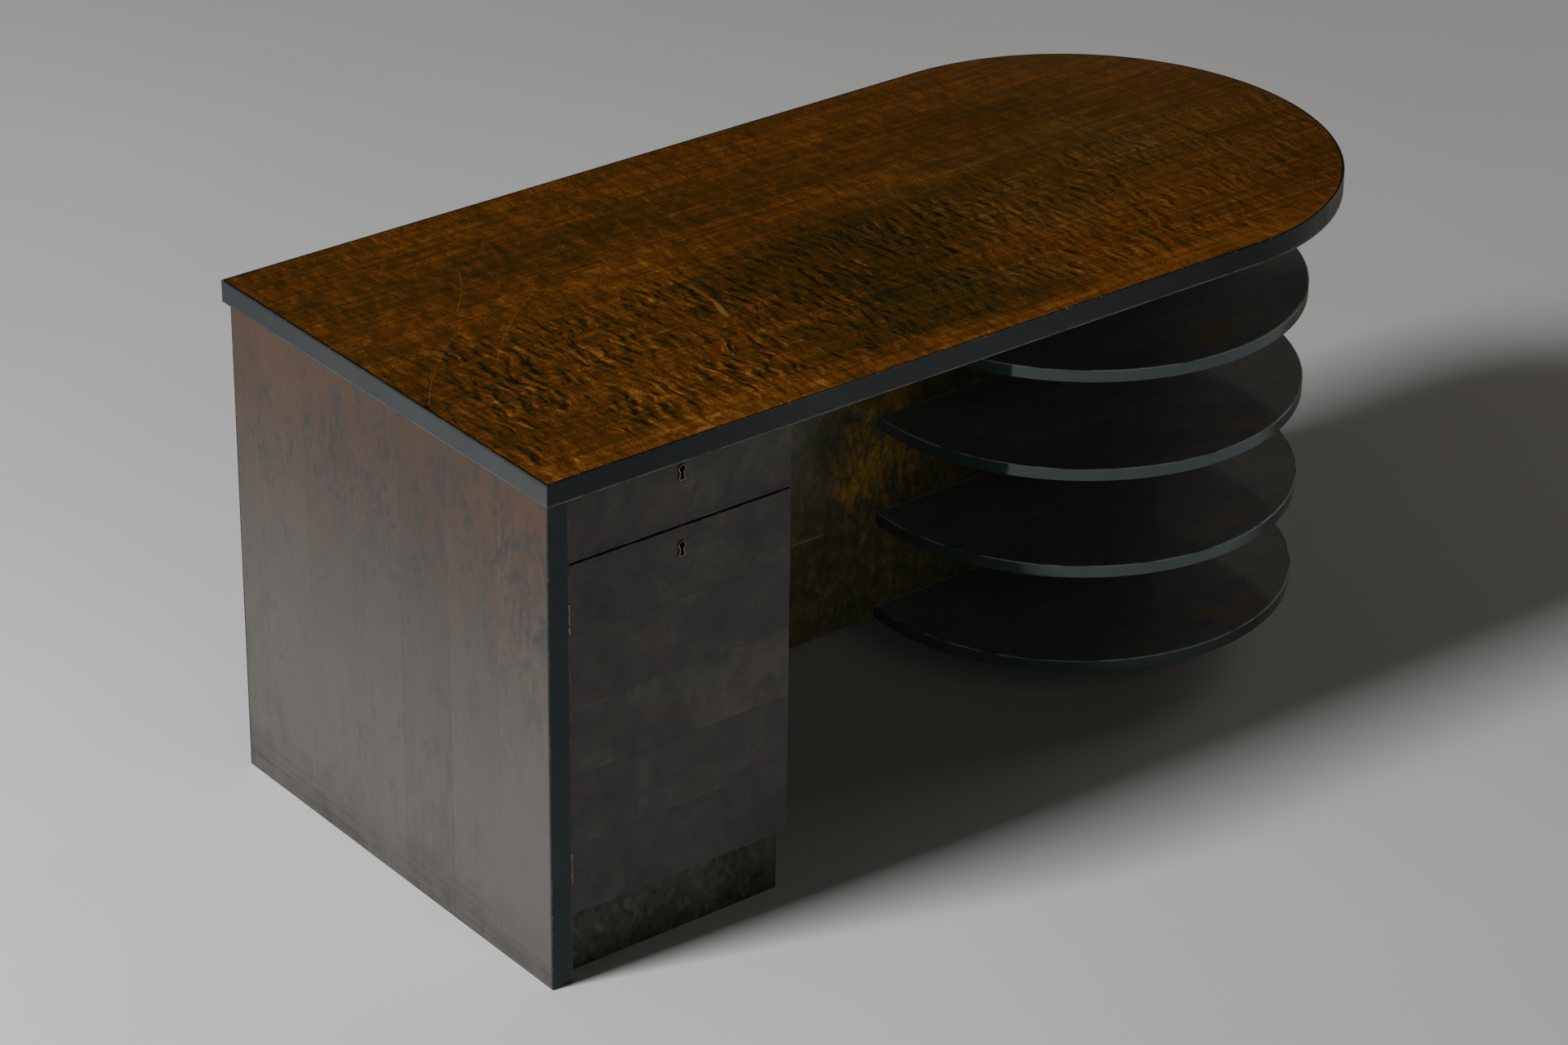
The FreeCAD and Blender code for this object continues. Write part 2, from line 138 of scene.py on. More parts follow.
def makeLamp(name, setup):
    data = bpy.data.lights.new(name, "AREA")
    data.shape = "SQUARE"
    data.size = setup["size"]
    data.energy = setup["level"] * (math.pi * setup["distance"]) ** 2
    data.color = setup["colour"]
    lamp = addToScene(name, data)
    high = math.radians(setup["elevation"])
    behind = math.radians(setup["behind"])
    away = Vector((-math.cos(behind) * math.cos(high), math.sin(behind) * math.cos(high), math.sin(high)))
    middle = (cadBox[0] + cadBox[1]) / 2
    lamp.location = middle + away * setup["distance"]
    lamp.rotation_mode = "QUATERNION"
    lamp.rotation_quaternion = away.to_track_quat("Z", "Y")


# Node helpers: nodes go into the tree opened last, and a socket takes a plain value or another node's output

drawing = {}


def openTree(tree):
    drawing["tree"] = tree
    return tree


def setSocket(socket, value):
    if isinstance(value, bpy.types.NodeSocket):
        drawing["tree"].links.new(value, socket)
    else:
        socket.default_value = value


def addNode(kind, sockets=None, **settings):
    made = drawing["tree"].nodes.new("ShaderNode" + kind)
    for name, value in settings.items():
        setattr(made, name, value)
    for name, value in (sockets or {}).items():
        setSocket(made.inputs[name], value)
    return made


def feed(sockets, **values):
    for name, value in values.items():
        setSocket(sockets[name.replace("_", " ")], value)


def calc(operation, *values):
    return addNode("Math", dict(enumerate(values)), operation=operation).outputs[0]


def times(product, *factors):
    for factor in factors:
        product = calc("MULTIPLY", product, factor)
    return product


def leaning(texture, weight):
    return times(calc("SUBTRACT", texture, 0.5), weight)


def addUp(total, *parts):
    for part in parts:
        if isinstance(part, tuple):  # a texture and its weight: lightens as much as it darkens
            part = leaning(*part)
        total = calc("ADD", total, part)
    return total


def gapTo(value, place):
    return calc("ABSOLUTE", calc("SUBTRACT", value, place))


def vectorCalc(operation, *values):
    made = addNode("VectorMath", dict(enumerate(values)), operation=operation)
    return made.outputs["Value" if operation in ("LENGTH", "DISTANCE") else "Vector"]


def split(vector):
    return addNode("SeparateXYZ", {0: vector}).outputs


def spin(vector, angle):
    return addNode("VectorRotate", {"Vector": vector, "Angle": angle}, rotation_type="Z_AXIS").outputs[0]


def shareOf(value, low, high):
    return addNode("MapRange", {"Value": value, "From Min": low, "From Max": high}).outputs["Result"]


def fade(value, start, end, low=0.0, high=1.0):
    sockets = {"Value": value, "From Min": start, "From Max": end, "To Min": low, "To Max": high}
    return addNode("MapRange", sockets, interpolation_type="SMOOTHSTEP").outputs["Result"]


def fadeFrom(edge, gaps, value, *levels):
    return fade(value, *(edge + gap for gap in gaps), *levels)


def stretch(value, comeIn, full, goOut, gone):
    return times(fade(value, comeIn, full), fade(value, gone, goOut))


def mix(factor, first, second, blend="MIX"):
    made = addNode("Mix", {0: factor, 6: first, 7: second}, data_type="RGBA", blend_type=blend)
    return made.outputs[2]


def ramp(factor, stops, interpolation="LINEAR"):
    made = addNode("ValToRGB", {"Fac": factor})
    made.color_ramp.interpolation = interpolation
    marks = made.color_ramp.elements
    while len(marks) < len(stops):
        marks.new(0.5)
    for mark, (place, colour) in zip(marks, stops):
        mark.position = place
        mark.color = (*colour, 1)
    return made.outputs["Color"]


def noiseNode(vector, scale, **sockets):
    stretched = vectorCalc("MULTIPLY", vector, scale)
    return addNode("TexNoise", {"Vector": stretched, "Scale": 1.0, **sockets})


def noise(vector, scale, detail=2.0, rough=0.5, twist=0.0):
    return noiseNode(vector, scale, Detail=detail, Roughness=rough, Distortion=twist).outputs[0]


def swayed(place, vector, scale, reach, detail):
    wander = noiseNode(vector, scale, Detail=detail).outputs["Color"]
    shift = vectorCalc("MULTIPLY", vectorCalc("SUBTRACT", wander, (0.5, 0.5, 0.5)), reach)
    return vectorCalc("ADD", place, shift)


def brokenUp(vector, scale, start, end, least):
    return fade(noise(vector, (scale, scale, scale), 3, 0.6), start, end, least, 0.9)


def objectPlace(order="XYZ"):
    place = addNode("TexCoord").outputs["Object"]
    if order == "XYZ":
        return place
    sides = split(place)
    return addNode("CombineXYZ", {number: sides[axis] for number, axis in enumerate(order)}).outputs[0]


def newGroup(name, vectors, values, *outputs):
    tree = openTree(bpy.data.node_groups.new(name, "ShaderNodeTree"))
    for labels, kind in ((vectors, "NodeSocketVector"), (values, "NodeSocketFloat")):
        for label in labels:
            tree.interface.new_socket(name=label, in_out="INPUT", socket_type=kind)
    for label in outputs:
        kind = "NodeSocketVector" if label == "Vector" else "NodeSocketFloat"
        tree.interface.new_socket(name=label, in_out="OUTPUT", socket_type=kind)
    return tree, tree.nodes.new("NodeGroupInput").outputs, tree.nodes.new("NodeGroupOutput").inputs


def useGroup(group, **sockets):
    return addNode("Group", sockets, node_tree=group).outputs


def newMaterial(name, **constants):
    material = bpy.data.materials.new(name)
    material.use_nodes = True
    shader = openTree(material.node_tree).nodes["Principled BSDF"].inputs
    feed(shader, **constants)
    return material, shader


def bumpOn(shader, height, distance, strength):
    made = addNode("Bump", {"Height": height, "Distance": distance, "Strength": strength})
    feed(shader, Normal=made.outputs[0])


def cloudy(colour, scale, detail, least, most):
    cloud = noise(objectPlace(), (scale, scale, scale), detail)
    return mix(1.0, colour, fade(cloud, 0.2, 0.8, least, most), "MULTIPLY")


def makeWorld(setup):
    world = bpy.data.worlds.new("studio")
    world.use_nodes = True
    bpy.context.scene.world = world
    tree = openTree(world.node_tree)
    height = split(addNode("TexCoord").outputs["Generated"])["Z"]
    grey = fade(height, *setup["wallTop"], setup["wall"], setup["ceiling"])
    feed(tree.nodes["Background"].inputs, Color=grey)


def makeFloor(setup):
    floor = addGrid("floor", setup["floorCells"], setup["floorSize"])
    material, shader = newMaterial("floorPaint", Roughness=0.75, Specular_IOR_Level=0.25)
    feed(shader, Base_Color=cloudy(setup["floorColour"], 0.6, 3, 0.97, 1.03))
    floor.data.materials.append(material)


def makeReflectionGlowCard(setup):
    card = addGrid("reflectionGlowCard", setup["cells"], 1.0)
    card.data.transform(Matrix.Diagonal((setup["width"], setup["height"], 1, 1)))
    card.data.transform(Matrix.Rotation(math.radians(90), 4, "X"))
    card.data.transform(Matrix.Translation((setup["aside"], setup["away"], setup["height"] / 2)))
    card.data.transform(Matrix.Rotation(-math.radians(setup["facing"]), 4, "Z"))
    # a glowing card, no lamp, that paints a reflection into the polished shelves
    material, shader = newMaterial("glowingReflectionPaint", Base_Color=(0, 0, 0, 1), Emission_Strength=1.0, Roughness=1.0)
    feed(shader, Emission_Color=cloudy(setup["colour"], 2, 2, 0.9, 1.1))
    card.data.materials.append(material)
    card.visible_camera = False
    card.visible_diffuse = False
    card.visible_shadow = False


# Modelling helpers

tiny = 1e-5


def deselect():
    if bpy.context.mode != "OBJECT":
        bpy.ops.object.mode_set(mode="OBJECT")
    bpy.ops.object.select_all(action="DESELECT")


def addGrid(name, cells, size):
    deselect()
    bpy.ops.mesh.primitive_grid_add(x_subdivisions=cells, y_subdivisions=cells, size=size)
    made = bpy.context.object
    made.name = name
    return made


def startEdit(name):
    piece = bpy.context.object
    piece.name = name
    piece.data.name = name
    bpy.ops.object.transform_apply(location=True, rotation=True, scale=True)
    bpy.ops.object.mode_set(mode="EDIT")
    return piece


def selectAll():
    bpy.ops.mesh.select_all(action="SELECT")


def pick(kind, *tests):
    bpy.ops.mesh.select_mode(type=kind)
    bpy.ops.mesh.select_all(action="DESELECT")
    mesh = bpy.context.edit_object.data
    shape = bmesh.from_edit_mesh(mesh)
    for part in {"VERT": shape.verts, "EDGE": shape.edges, "FACE": shape.faces}[kind]:
        corners = [part] if kind == "VERT" else part.verts
        part.select_set(any(all(test(corner.co) for corner in corners) for test in tests))
    shape.select_flush_mode()
    bmesh.update_edit_mesh(mesh)


def near(first, second):
    return abs(first - second) < tiny


def pull(x=0.0, y=0.0, z=0.0):
    bpy.ops.mesh.extrude_region_move(TRANSFORM_OT_translate={"value": (x, y, z)})


def thicken(x=0.0, y=0.0, z=0.0):
    selectAll()
    pull(x, y, z)
    selectAll()
    bpy.ops.mesh.normals_make_consistent(inside=False)


def hollow(wall):
    selectAll()
    bpy.ops.mesh.inset(thickness=wall, use_boundary=True, use_even_offset=True)
    bpy.ops.mesh.delete(type="FACE")


def widen(x, y, centre):
    bpy.ops.transform.resize(value=(x, y, 1), center_override=centre)


def roundOff(width, steps):
    bpy.ops.mesh.bevel(offset=width, segments=steps, affect="EDGES")


def endEdit(piece, smoothAngle=35):
    selectAll()
    bpy.ops.mesh.remove_doubles(threshold=tiny / 10)
    bpy.ops.object.mode_set(mode="OBJECT")
    bpy.ops.object.shade_smooth_by_angle(angle=math.radians(smoothAngle))
    flatten = piece.modifiers.new("flatFaces", "WEIGHTED_NORMAL")
    flatten.weight = 100
    flatten.keep_sharp = True
    bpy.ops.object.modifier_apply(modifier=flatten.name)
    return piece


def copyPiece(piece, name, move):
    copy = piece.copy()
    copy.data = piece.data.copy()
    copy.name = name
    copy.data.name = name
    copy.data.transform(move)
    bpy.context.scene.collection.objects.link(copy)
    return copy


def settle(piece, material, body, slot, *replaced):
    piece.data.materials.clear()
    piece.data.materials.append(material)
    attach(piece, body)
    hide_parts(*replaced)


# Shared finish effects

def makeBoardEdge():
    group, given, out = newGroup("boardEdge", ("Vector", "Low", "High"), (), "Distance")
    toLow = vectorCalc("SUBTRACT", given["Vector"], given["Low"])
    toHigh = vectorCalc("SUBTRACT", given["High"], given["Vector"])
    x, y, z = split(vectorCalc("ABSOLUTE", vectorCalc("MINIMUM", toLow, toHigh)))
    most = calc("MAXIMUM", calc("MAXIMUM", x, y), z)
    least = calc("MINIMUM", calc("MINIMUM", x, y), z)
    middle = calc("SUBTRACT", calc("SUBTRACT", addUp(x, y, z), most), least)
    feed(out, Distance=middle)  # gap to the nearest arris
    return group


def makeRoundEdge():
    values = ("CentreX", "Radius", "Left", "Low", "High")
    group, given, out = newGroup("roundEdge", ("Vector",), values, "Rim", "Distance")
    x, y, z = split(given["Vector"])
    past = calc("MAXIMUM", calc("SUBTRACT", x, given["CentreX"]), 0.0)
    reach = calc("SQRT", addUp(calc("POWER", past, 2.0), calc("POWER", y, 2.0)))
    side = calc("SUBTRACT", given["Radius"], reach)
    rim = calc("MINIMUM", side, calc("SUBTRACT", x, given["Left"]))
    up = calc("MINIMUM", calc("SUBTRACT", given["High"], z), calc("SUBTRACT", z, given["Low"]))
    feed(out, Rim=rim, Distance=calc("MAXIMUM", rim, up))
    return group


def makeWornArris():
    group, given, out = newGroup("wornArris", ("Vector",), ("Distance", "Width", "Amount"), "Rub", "Chips")
    close = fade(given["Distance"], 0.0, given["Width"], 1.0, 0.0)
    rubbed = noise(given["Vector"], (35, 35, 35), 4, 0.6)
    grit = noise(given["Vector"], (260, 260, 260), 2, 0.6)
    spots = times(fade(grit, 0.62, 0.68), fade(rubbed, 0.4, 0.6))
    feed(out, Rub=times(close, fade(rubbed, 0.45, 0.7), given["Amount"]), Chips=times(close, spots))
    return group


def makeScuffs():
    group, given, out = newGroup("scuffs", ("Vector",), ("Amount",), "Lines", "Specks", "Smear")
    lines = 0.0
    for turn, long, cut in ((0.5, 9.0, 0.70), (-0.75, 13.0, 0.71), (1.25, 7.0, 0.715), (2.3, 16.0, 0.72)):
        turned = spin(given["Vector"], turn)
        bent = noise(turned, (long, 700, 3), 1, 0.3, 0.15)
        short = noise(turned, (14, 30, 5), 1)
        line = times(fade(bent, cut, cut + 0.05), fade(short, 0.52, 0.62))
        lines = calc("MAXIMUM", lines, line)
    cells = addNode("TexVoronoi", {"Vector": given["Vector"], "Scale": 42.0}).outputs
    chance = split(cells["Color"])["X"]
    dots = times(fade(cells["Distance"], 0.02, 0.045, 1.0, 0.0), fade(chance, 0.9, 0.92))
    feed(out, Lines=times(lines, given["Amount"]), Specks=times(dots, given["Amount"]),
         Smear=noise(given["Vector"], (7, 7, 7), 5, 0.62, 0.4))
    return group


def makeSoftPatch():
    group, given, out = newGroup("softPatch", ("Vector", "Centre", "Size"), ("Turn", "Ragged"), "Mask")
    turned = spin(vectorCalc("SUBTRACT", given["Vector"], given["Centre"]), given["Turn"])
    reach = vectorCalc("LENGTH", vectorCalc("DIVIDE", turned, given["Size"]))
    ragged = noise(given["Vector"], (16, 12, 12), 4, 0.6)
    feed(out, Mask=fade(addUp(reach, (ragged, given["Ragged"])), 0.45, 1.1, 1.0, 0.0))
    return group


def makeVeneerLeaves():
    values = ("Along", "Width", "Seed")
    group, given, out = newGroup("veneerLeaves", ("Vector",), values, "Vector", "Tone", "Joint")
    steps = calc("DIVIDE", given["Along"], given["Width"])
    number = calc("ADD", calc("FLOOR", steps), given["Seed"])
    chance = addNode("TexWhiteNoise", {"W": number}, noise_dimensions="1D").outputs
    shift = vectorCalc("MULTIPLY", chance["Color"], (3.0, 3.0, 3.0))
    part = calc("FRACT", steps)
    gap = times(calc("MINIMUM", part, calc("SUBTRACT", 1.0, part)), given["Width"])
    feed(out, Vector=vectorCalc("ADD", given["Vector"], shift), Tone=chance["Value"],
         Joint=fade(gap, 0.0002, 0.0009, 1.0, 0.0))
    return group


def makeWoodGrain():
    group, given, out = newGroup("woodGrain", ("Vector",), (), "Fibre", "Streak", "Cloud", "Fleck")
    place = swayed(given["Vector"], given["Vector"], (3, 6, 6), (0.02, 0.03, 0.03), 1.0)
    fleck = noise(place, (60, 420, 420), 1, 0.4)
    feed(out, Fibre=noise(place, (16, 850, 850), 2, 0.6), Streak=noise(place, (4, 75, 75), 3, 0.6),
         Cloud=noise(place, (2.6, 8, 8), 3, 0.55, 0.3), Fleck=fade(fleck, 0.68, 0.75))
    return group


def makeCurl():
    group, given, out = newGroup("curl", ("Vector",), ("Pitch", "Reach"), "Slope", "Height")
    place = given["Vector"]
    for scale, reach in (((9, 11, 11), (0.045, 0.03, 0.03)), ((60, 45, 45), (0.008, 0.01, 0.01))):
        place = swayed(place, given["Vector"], scale, reach, 3.0)
    across = calc("DIVIDE", 1.0, given["Pitch"])
    along = calc("DIVIDE", 1.0, given["Reach"])
    scale = addNode("CombineXYZ", {0: across, 1: along, 2: along}).outputs[0]
    step = addNode("CombineXYZ", {0: times(given["Pitch"], 0.2)}).outputs[0]
    here, there = (noise(spot, scale, 1.0, 0.4, 0.2) for spot in (place, vectorCalc("ADD", place, step)))
    slope = calc("SUBTRACT", there, here)  # light leans off each wave of the grain
    steep = fade(calc("ABSOLUTE", slope), 0.01, 0.07)
    feed(out, Slope=times(slope, steep), Height=here)
    return group


def makeArcMark():
    group, given, out = newGroup("arcMark", ("Vector", "Centre"), ("Radius", "Left", "Right"), "Mask")
    gap = gapTo(vectorCalc("DISTANCE", given["Vector"], given["Centre"]), given["Radius"])
    x = split(given["Vector"])["X"]
    started = calc("GREATER_THAN", x, given["Left"])
    ended = calc("LESS_THAN", x, given["Right"])
    broken = fade(noise(given["Vector"], (40, 40, 40), 2), 0.3, 0.5, 0.2, 1.0)
    feed(out, Mask=times(fade(gap, 0.0001, 0.0006, 1.0, 0.0), started, ended, broken))
    return group


boardEdge = makeBoardEdge()
roundEdge = makeRoundEdge()
wornArris = makeWornArris()
scuffs = makeScuffs()
softPatch = makeSoftPatch()
veneerLeaves = makeVeneerLeaves()
woodGrain = makeWoodGrain()
curl = makeCurl()
arcMark = makeArcMark()
print("shared finish effects ready")


# Finishes

noLeftEnd = -9.0  # further left than anything on the desk


def middleOf(node):
    low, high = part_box(node)
    return (low + high) / 2


def patchOf(place, x, y, long, wide, turn, ragged=0.9):
    return useGroup(softPatch, Vector=place, Centre=(x, y, 0), Size=(long, wide, 9),
                    Turn=math.radians(turn), Ragged=ragged)["Mask"]


def boardEdgeAt(whole, node):
    low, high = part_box(node)
    return useGroup(boardEdge, Vector=whole, Low=low, High=high)["Distance"]


def roundEdgeAt(whole, node, part="Distance", left=noLeftEnd):
    low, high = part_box(node)
    radius = (high.y - low.y) / 2
    return useGroup(roundEdge, Vector=whole, CentreX=high.x - radius, Radius=radius,
                    Left=left, Low=low.z, High=high.z)[part]


def topEdgeAt(whole, node, part="Distance"):
    return roundEdgeAt(whole, node, part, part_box(node)[0].x)


topFinish = {
    "tones": [(0.0, (0.006, 0.0050, 0.0006)), (0.25, (0.025, 0.0130, 0.0004)), (0.5, (0.060, 0.0188, 0.0004)),
              (0.75, (0.134, 0.041, 0.0013)), (1.0, (0.29, 0.112, 0.010))],
    "olive": (0.84, 1.02, 2.2, 1),
    "scratch": (0.26, 0.13, 0.03, 1),
    "speck": (0.5, 0.30, 0.13, 1),
    "glue": (0.004, 0.003, 0.002, 1),
    "glueReach": (0.0003, 0.0014),  # dark line beside the lipping
    "leafJoint": (0.06, -0.01),  # plain leaf behind the first y, curly before the second
    "ripple": (0.0140, 0.036),  # from ridge to ridge, and length of a ridge
    "figureFade": (-0.5, 0.7, 1.3, 0.65),  # from x to x, strength of the figure at each
    "calmStrip": (0.02, 0.08),  # from the front edge, where the figure is weaker
    "paleStrip": (0.075, 0.02),  # from the front edge, where the tone is paler
    # centre x and y, half length and half width in metres, turn in degrees, lift of tone
    "patches": [(-0.07, -0.07, 0.26, 0.15, 0, -0.22), (-0.06, -0.27, 0.28, 0.10, 0, -0.13),
                (-0.32, 0.185, 0.6, 0.075, 0, -0.07), (0.52, 0.02, 0.22, 0.2, 0, 0.03),
                (-0.46, -0.19, 0.15, 0.17, 0, 0.03), (-0.05, 0.085, 0.62, 0.06, 0, 0.05),
                (0.30, -0.22, 0.3, 0.15, 0, 0.09), (-0.72, 0.2, 0.1, 0.2, 0, -0.01),
                (-0.72, -0.1, 0.12, 0.16, 0, -0.07), (0.1, 0.3, 0.4, 0.05, 0, 0.05)],
    "olivePatches": [(0.48, 0.12, 0.15, 0.17, -20), (0.60, -0.02, 0.16, 0.14, 0), (-0.02, -0.26, 0.2, 0.1, 0),
                     (0.25, -0.02, 0.3, 0.2, 0)],
    # one old gouge, its shaded side, its long lit side and its bare end, and the stain in each
    "dents": [(-0.292, -0.059, 0.075, 0.0075, 104.1, (0.010, 0.0085, 0.004, 1)),
              (-0.302, -0.044, 0.046, 0.0035, 95, (0.13, 0.050, 0.003, 1)),
              (-0.311, -0.101, 0.034, 0.0055, 107.5, (0.21, 0.098, 0.012, 1))],
    # long old scratches: centre x and y, radius, from x, to x
    "arcs": [(-0.257, -0.470, 0.646, -0.79, -0.64), (-0.115, -0.480, 0.681, -0.65, -0.485),
             (-0.9, 0.4, 0.42, -0.60, -0.52), (0.9, -0.9, 0.8, 0.28, 0.33)],
}


def makeTopFinish(setup):
    material, shader = newMaterial("figuredTopVeneer", Coat_Roughness=0.12, Specular_IOR_Level=0.25)
    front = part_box("top_veneer")[0].y
    whole = objectPlace()
    x, y, z = split(whole)
    place = addNode("CombineXYZ", {0: x, 1: y}).outputs[0]  # the figure runs flat over the top
    grain = useGroup(woodGrain, Vector=place)
    pitch, length = setup["ripple"]
    ripples = useGroup(curl, Vector=place, Pitch=pitch, Reach=length)
    joint = addUp(y, (noise(place, (5, 9, 1), 3), 0.10))
    curly = fade(joint, *setup["leafJoint"], 0.2, 1.0)
    strength = fade(noise(place, (7, 9, 1), 3), 0.3, 0.62, 0.2, 1.0)
    livelier = fade(x, *setup["figureFade"])
    calmer = fadeFrom(front, setup["calmStrip"], y, 0.35, 1.0)
    # painted light and shade on each wave of the curl
    shaded = times(calc("ABSOLUTE", ripples["Slope"]), 0.3)
    figure = times(calc("SUBTRACT", ripples["Slope"], shaded), 2.6, strength, curly, livelier, calmer)
    lines = noise(place, (5, 170, 1), 4, 0.62, 0.15)
    dapple = leaning(noise(place, (48, 24, 1), 5, 0.7, 0.9), 0.95)
    grit = noise(place, (300, 420, 1), 2, 0.6)
    paler = fadeFrom(front, setup["paleStrip"], y, 0.0, 0.15)
    tone = addUp(0.485, (grain["Cloud"], 0.32), (grain["Streak"], 0.5), (lines, 0.62),
                 times(dapple, livelier), (grit, 0.8), figure, paler, times(grain["Fleck"], -0.08))
    for *patch, lift in setup["patches"]:
        tone = addUp(tone, times(patchOf(place, *patch), lift))
    colour = ramp(tone, setup["tones"])
    for *patch, stain in setup["dents"]:
        dent = patchOf(place, *patch, ragged=0.6)
        colour = mix(times(dent, 0.75), colour, stain)
    for patch in setup["olivePatches"]:
        colour = mix(patchOf(place, *patch), colour, setup["olive"], "MULTIPLY")
    marks = useGroup(scuffs, Vector=place, Amount=0.5)
    colour = mix(times(marks["Lines"], 0.42), colour, setup["scratch"])
    colour = mix(marks["Specks"], colour, setup["speck"])
    for centreX, centreY, radius, left, right in setup["arcs"]:
        arc = useGroup(arcMark, Vector=place, Centre=(centreX, centreY, 0), Radius=radius,
                       Left=left, Right=right)["Mask"]
        colour = mix(times(arc, 0.45), colour, setup["scratch"])
    rim = fade(topEdgeAt(whole, "top_veneer", "Rim"), *setup["glueReach"], 0.8, 0.0)
    feed(shader, Base_Color=mix(rim, colour, setup["glue"]),
         Roughness=addUp(0.22, (marks["Smear"], 0.14), times(marks["Lines"], 0.25)),
         Coat_Weight=fade(marks["Smear"], 0.3, 0.7, 0.2, 0.05))
    height = addUp(times(ripples["Height"], 0.4), times(grain["Fibre"], 0.1), times(marks["Lines"], -0.3))
    bumpOn(shader, height, 0.0003, 0.25)
    return material


gableFinish = {
    "brown": (0.066, 0.027, 0.007, 1),
    "grey": (0.022, 0.021, 0.020, 1),
    # the greyer, paler colour towards the bottom
    "palerPart": (0.100, 0.0905, 0.080, 1),
    "dark": (0.016, 0.014, 0.012, 1),
    "scratch": (0.16, 0.14, 0.12, 1),
    "leafWidth": 0.112,
    "rearReach": 0.35,  # a little browner from here to the rear edge
    "foot": 0.11,  # height of the dirt above the floor
    "rubWidth": 0.002,
}


def makeGableFinish(node, setup):
    material, shader = newMaterial("gableVeneer", Specular_IOR_Level=0.45)
    low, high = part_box(node)
    whole = objectPlace()
    x, y, z = split(whole)
    upright = objectPlace("ZYX")
    leaves = useGroup(veneerLeaves, Vector=upright, Along=calc("SUBTRACT", y, low.y),
                      Width=setup["leafWidth"], Seed=4.0)
    grain = useGroup(woodGrain, Vector=leaves["Vector"])
    wisps = noise(leaves["Vector"], (24, 46, 46), 6, 0.74, 1.3)
    mottle = noise(upright, (9, 13, 13), 5, 0.66, 0.7)
    upward = shareOf(z, low.z, high.z)
    warm = addUp(times(upward, 0.85), -0.18, (wisps, 3.9), (mottle, 1.9),
                 fade(y, high.y - setup["rearReach"], high.y, 0.0, 0.2))
    colour = mix(fade(warm, 0.0, 1.0), setup["grey"], setup["brown"])
    # greyer and paler towards the bottom
    palerLow = addUp(1.34, times(upward, -1.40), (mottle, 0.6), (wisps, 0.8))
    colour = mix(fade(palerLow, -0.1, 1.0), colour, setup["palerPart"])
    shade = addUp(0.12, (grain["Fibre"], 0.25), (grain["Streak"], 0.3), (leaves["Tone"], 0.3), (mottle, 0.7),
                  times(leaning(wisps, 1.8), fade(upward, 0.1, 0.9, 0.45, 1.0)),
                  times(leaves["Joint"], 0.28))
    colour = mix(fade(shade, 0.0, 1.0), colour, setup["dark"])
    rubbed = fade(noise(upright, (170, 7, 7), 4, 0.7, 0.4), 0.35, 0.7, 0.25, 0.9)
    foot = times(fade(z, setup["foot"], 0.0), fade(mottle, 0.25, 0.75, 0.35, 1.0), rubbed)
    colour = mix(foot, colour, setup["dark"])
    marks = useGroup(scuffs, Vector=upright, Amount=0.5)
    colour = mix(times(marks["Lines"], 0.25), colour, setup["scratch"])
    worn = useGroup(wornArris, Vector=whole, Distance=boardEdgeAt(whole, node),
                    Width=setup["rubWidth"], Amount=0.5)
    feed(shader, Base_Color=mix(worn["Rub"], colour, setup["dark"]),
         Roughness=addUp(0.36, (marks["Smear"], 0.2), (grain["Streak"], 0.1)))
    bumpOn(shader, addUp(times(grain["Fibre"], 0.3), marks["Lines"]), 0.0002, 0.35)
    return material


frontFinish = {
    "tones": [(0.0, (0.013, 0.014, 0.014)), (0.5, (0.046, 0.043, 0.034)), (1.0, (0.13, 0.11, 0.074))],
    "green": (0.056, 0.060, 0.024, 1),
    "red": (0.080, 0.046, 0.032, 1),
    "joint": (0.010, 0.009, 0.008, 1),
    "grimeAndShade": (0.006, 0.005, 0.004, 1),
    "rub": (0.17, 0.15, 0.12, 1),
    "rubWidth": 0.0022,
    "keyGrimeAndShade": (0.0092, 0.0165),  # half width and half height of the grime and painted shade round a keyhole
    # the liner in each front, and the tone of each veneer strip from the foot up
    "cupboard_door": ("door_escutcheon", [0.47, 0.40, 0.52, 0.44, 0.40]),
    "drawer_front": ("drawer_escutcheon", [0.45]),
}


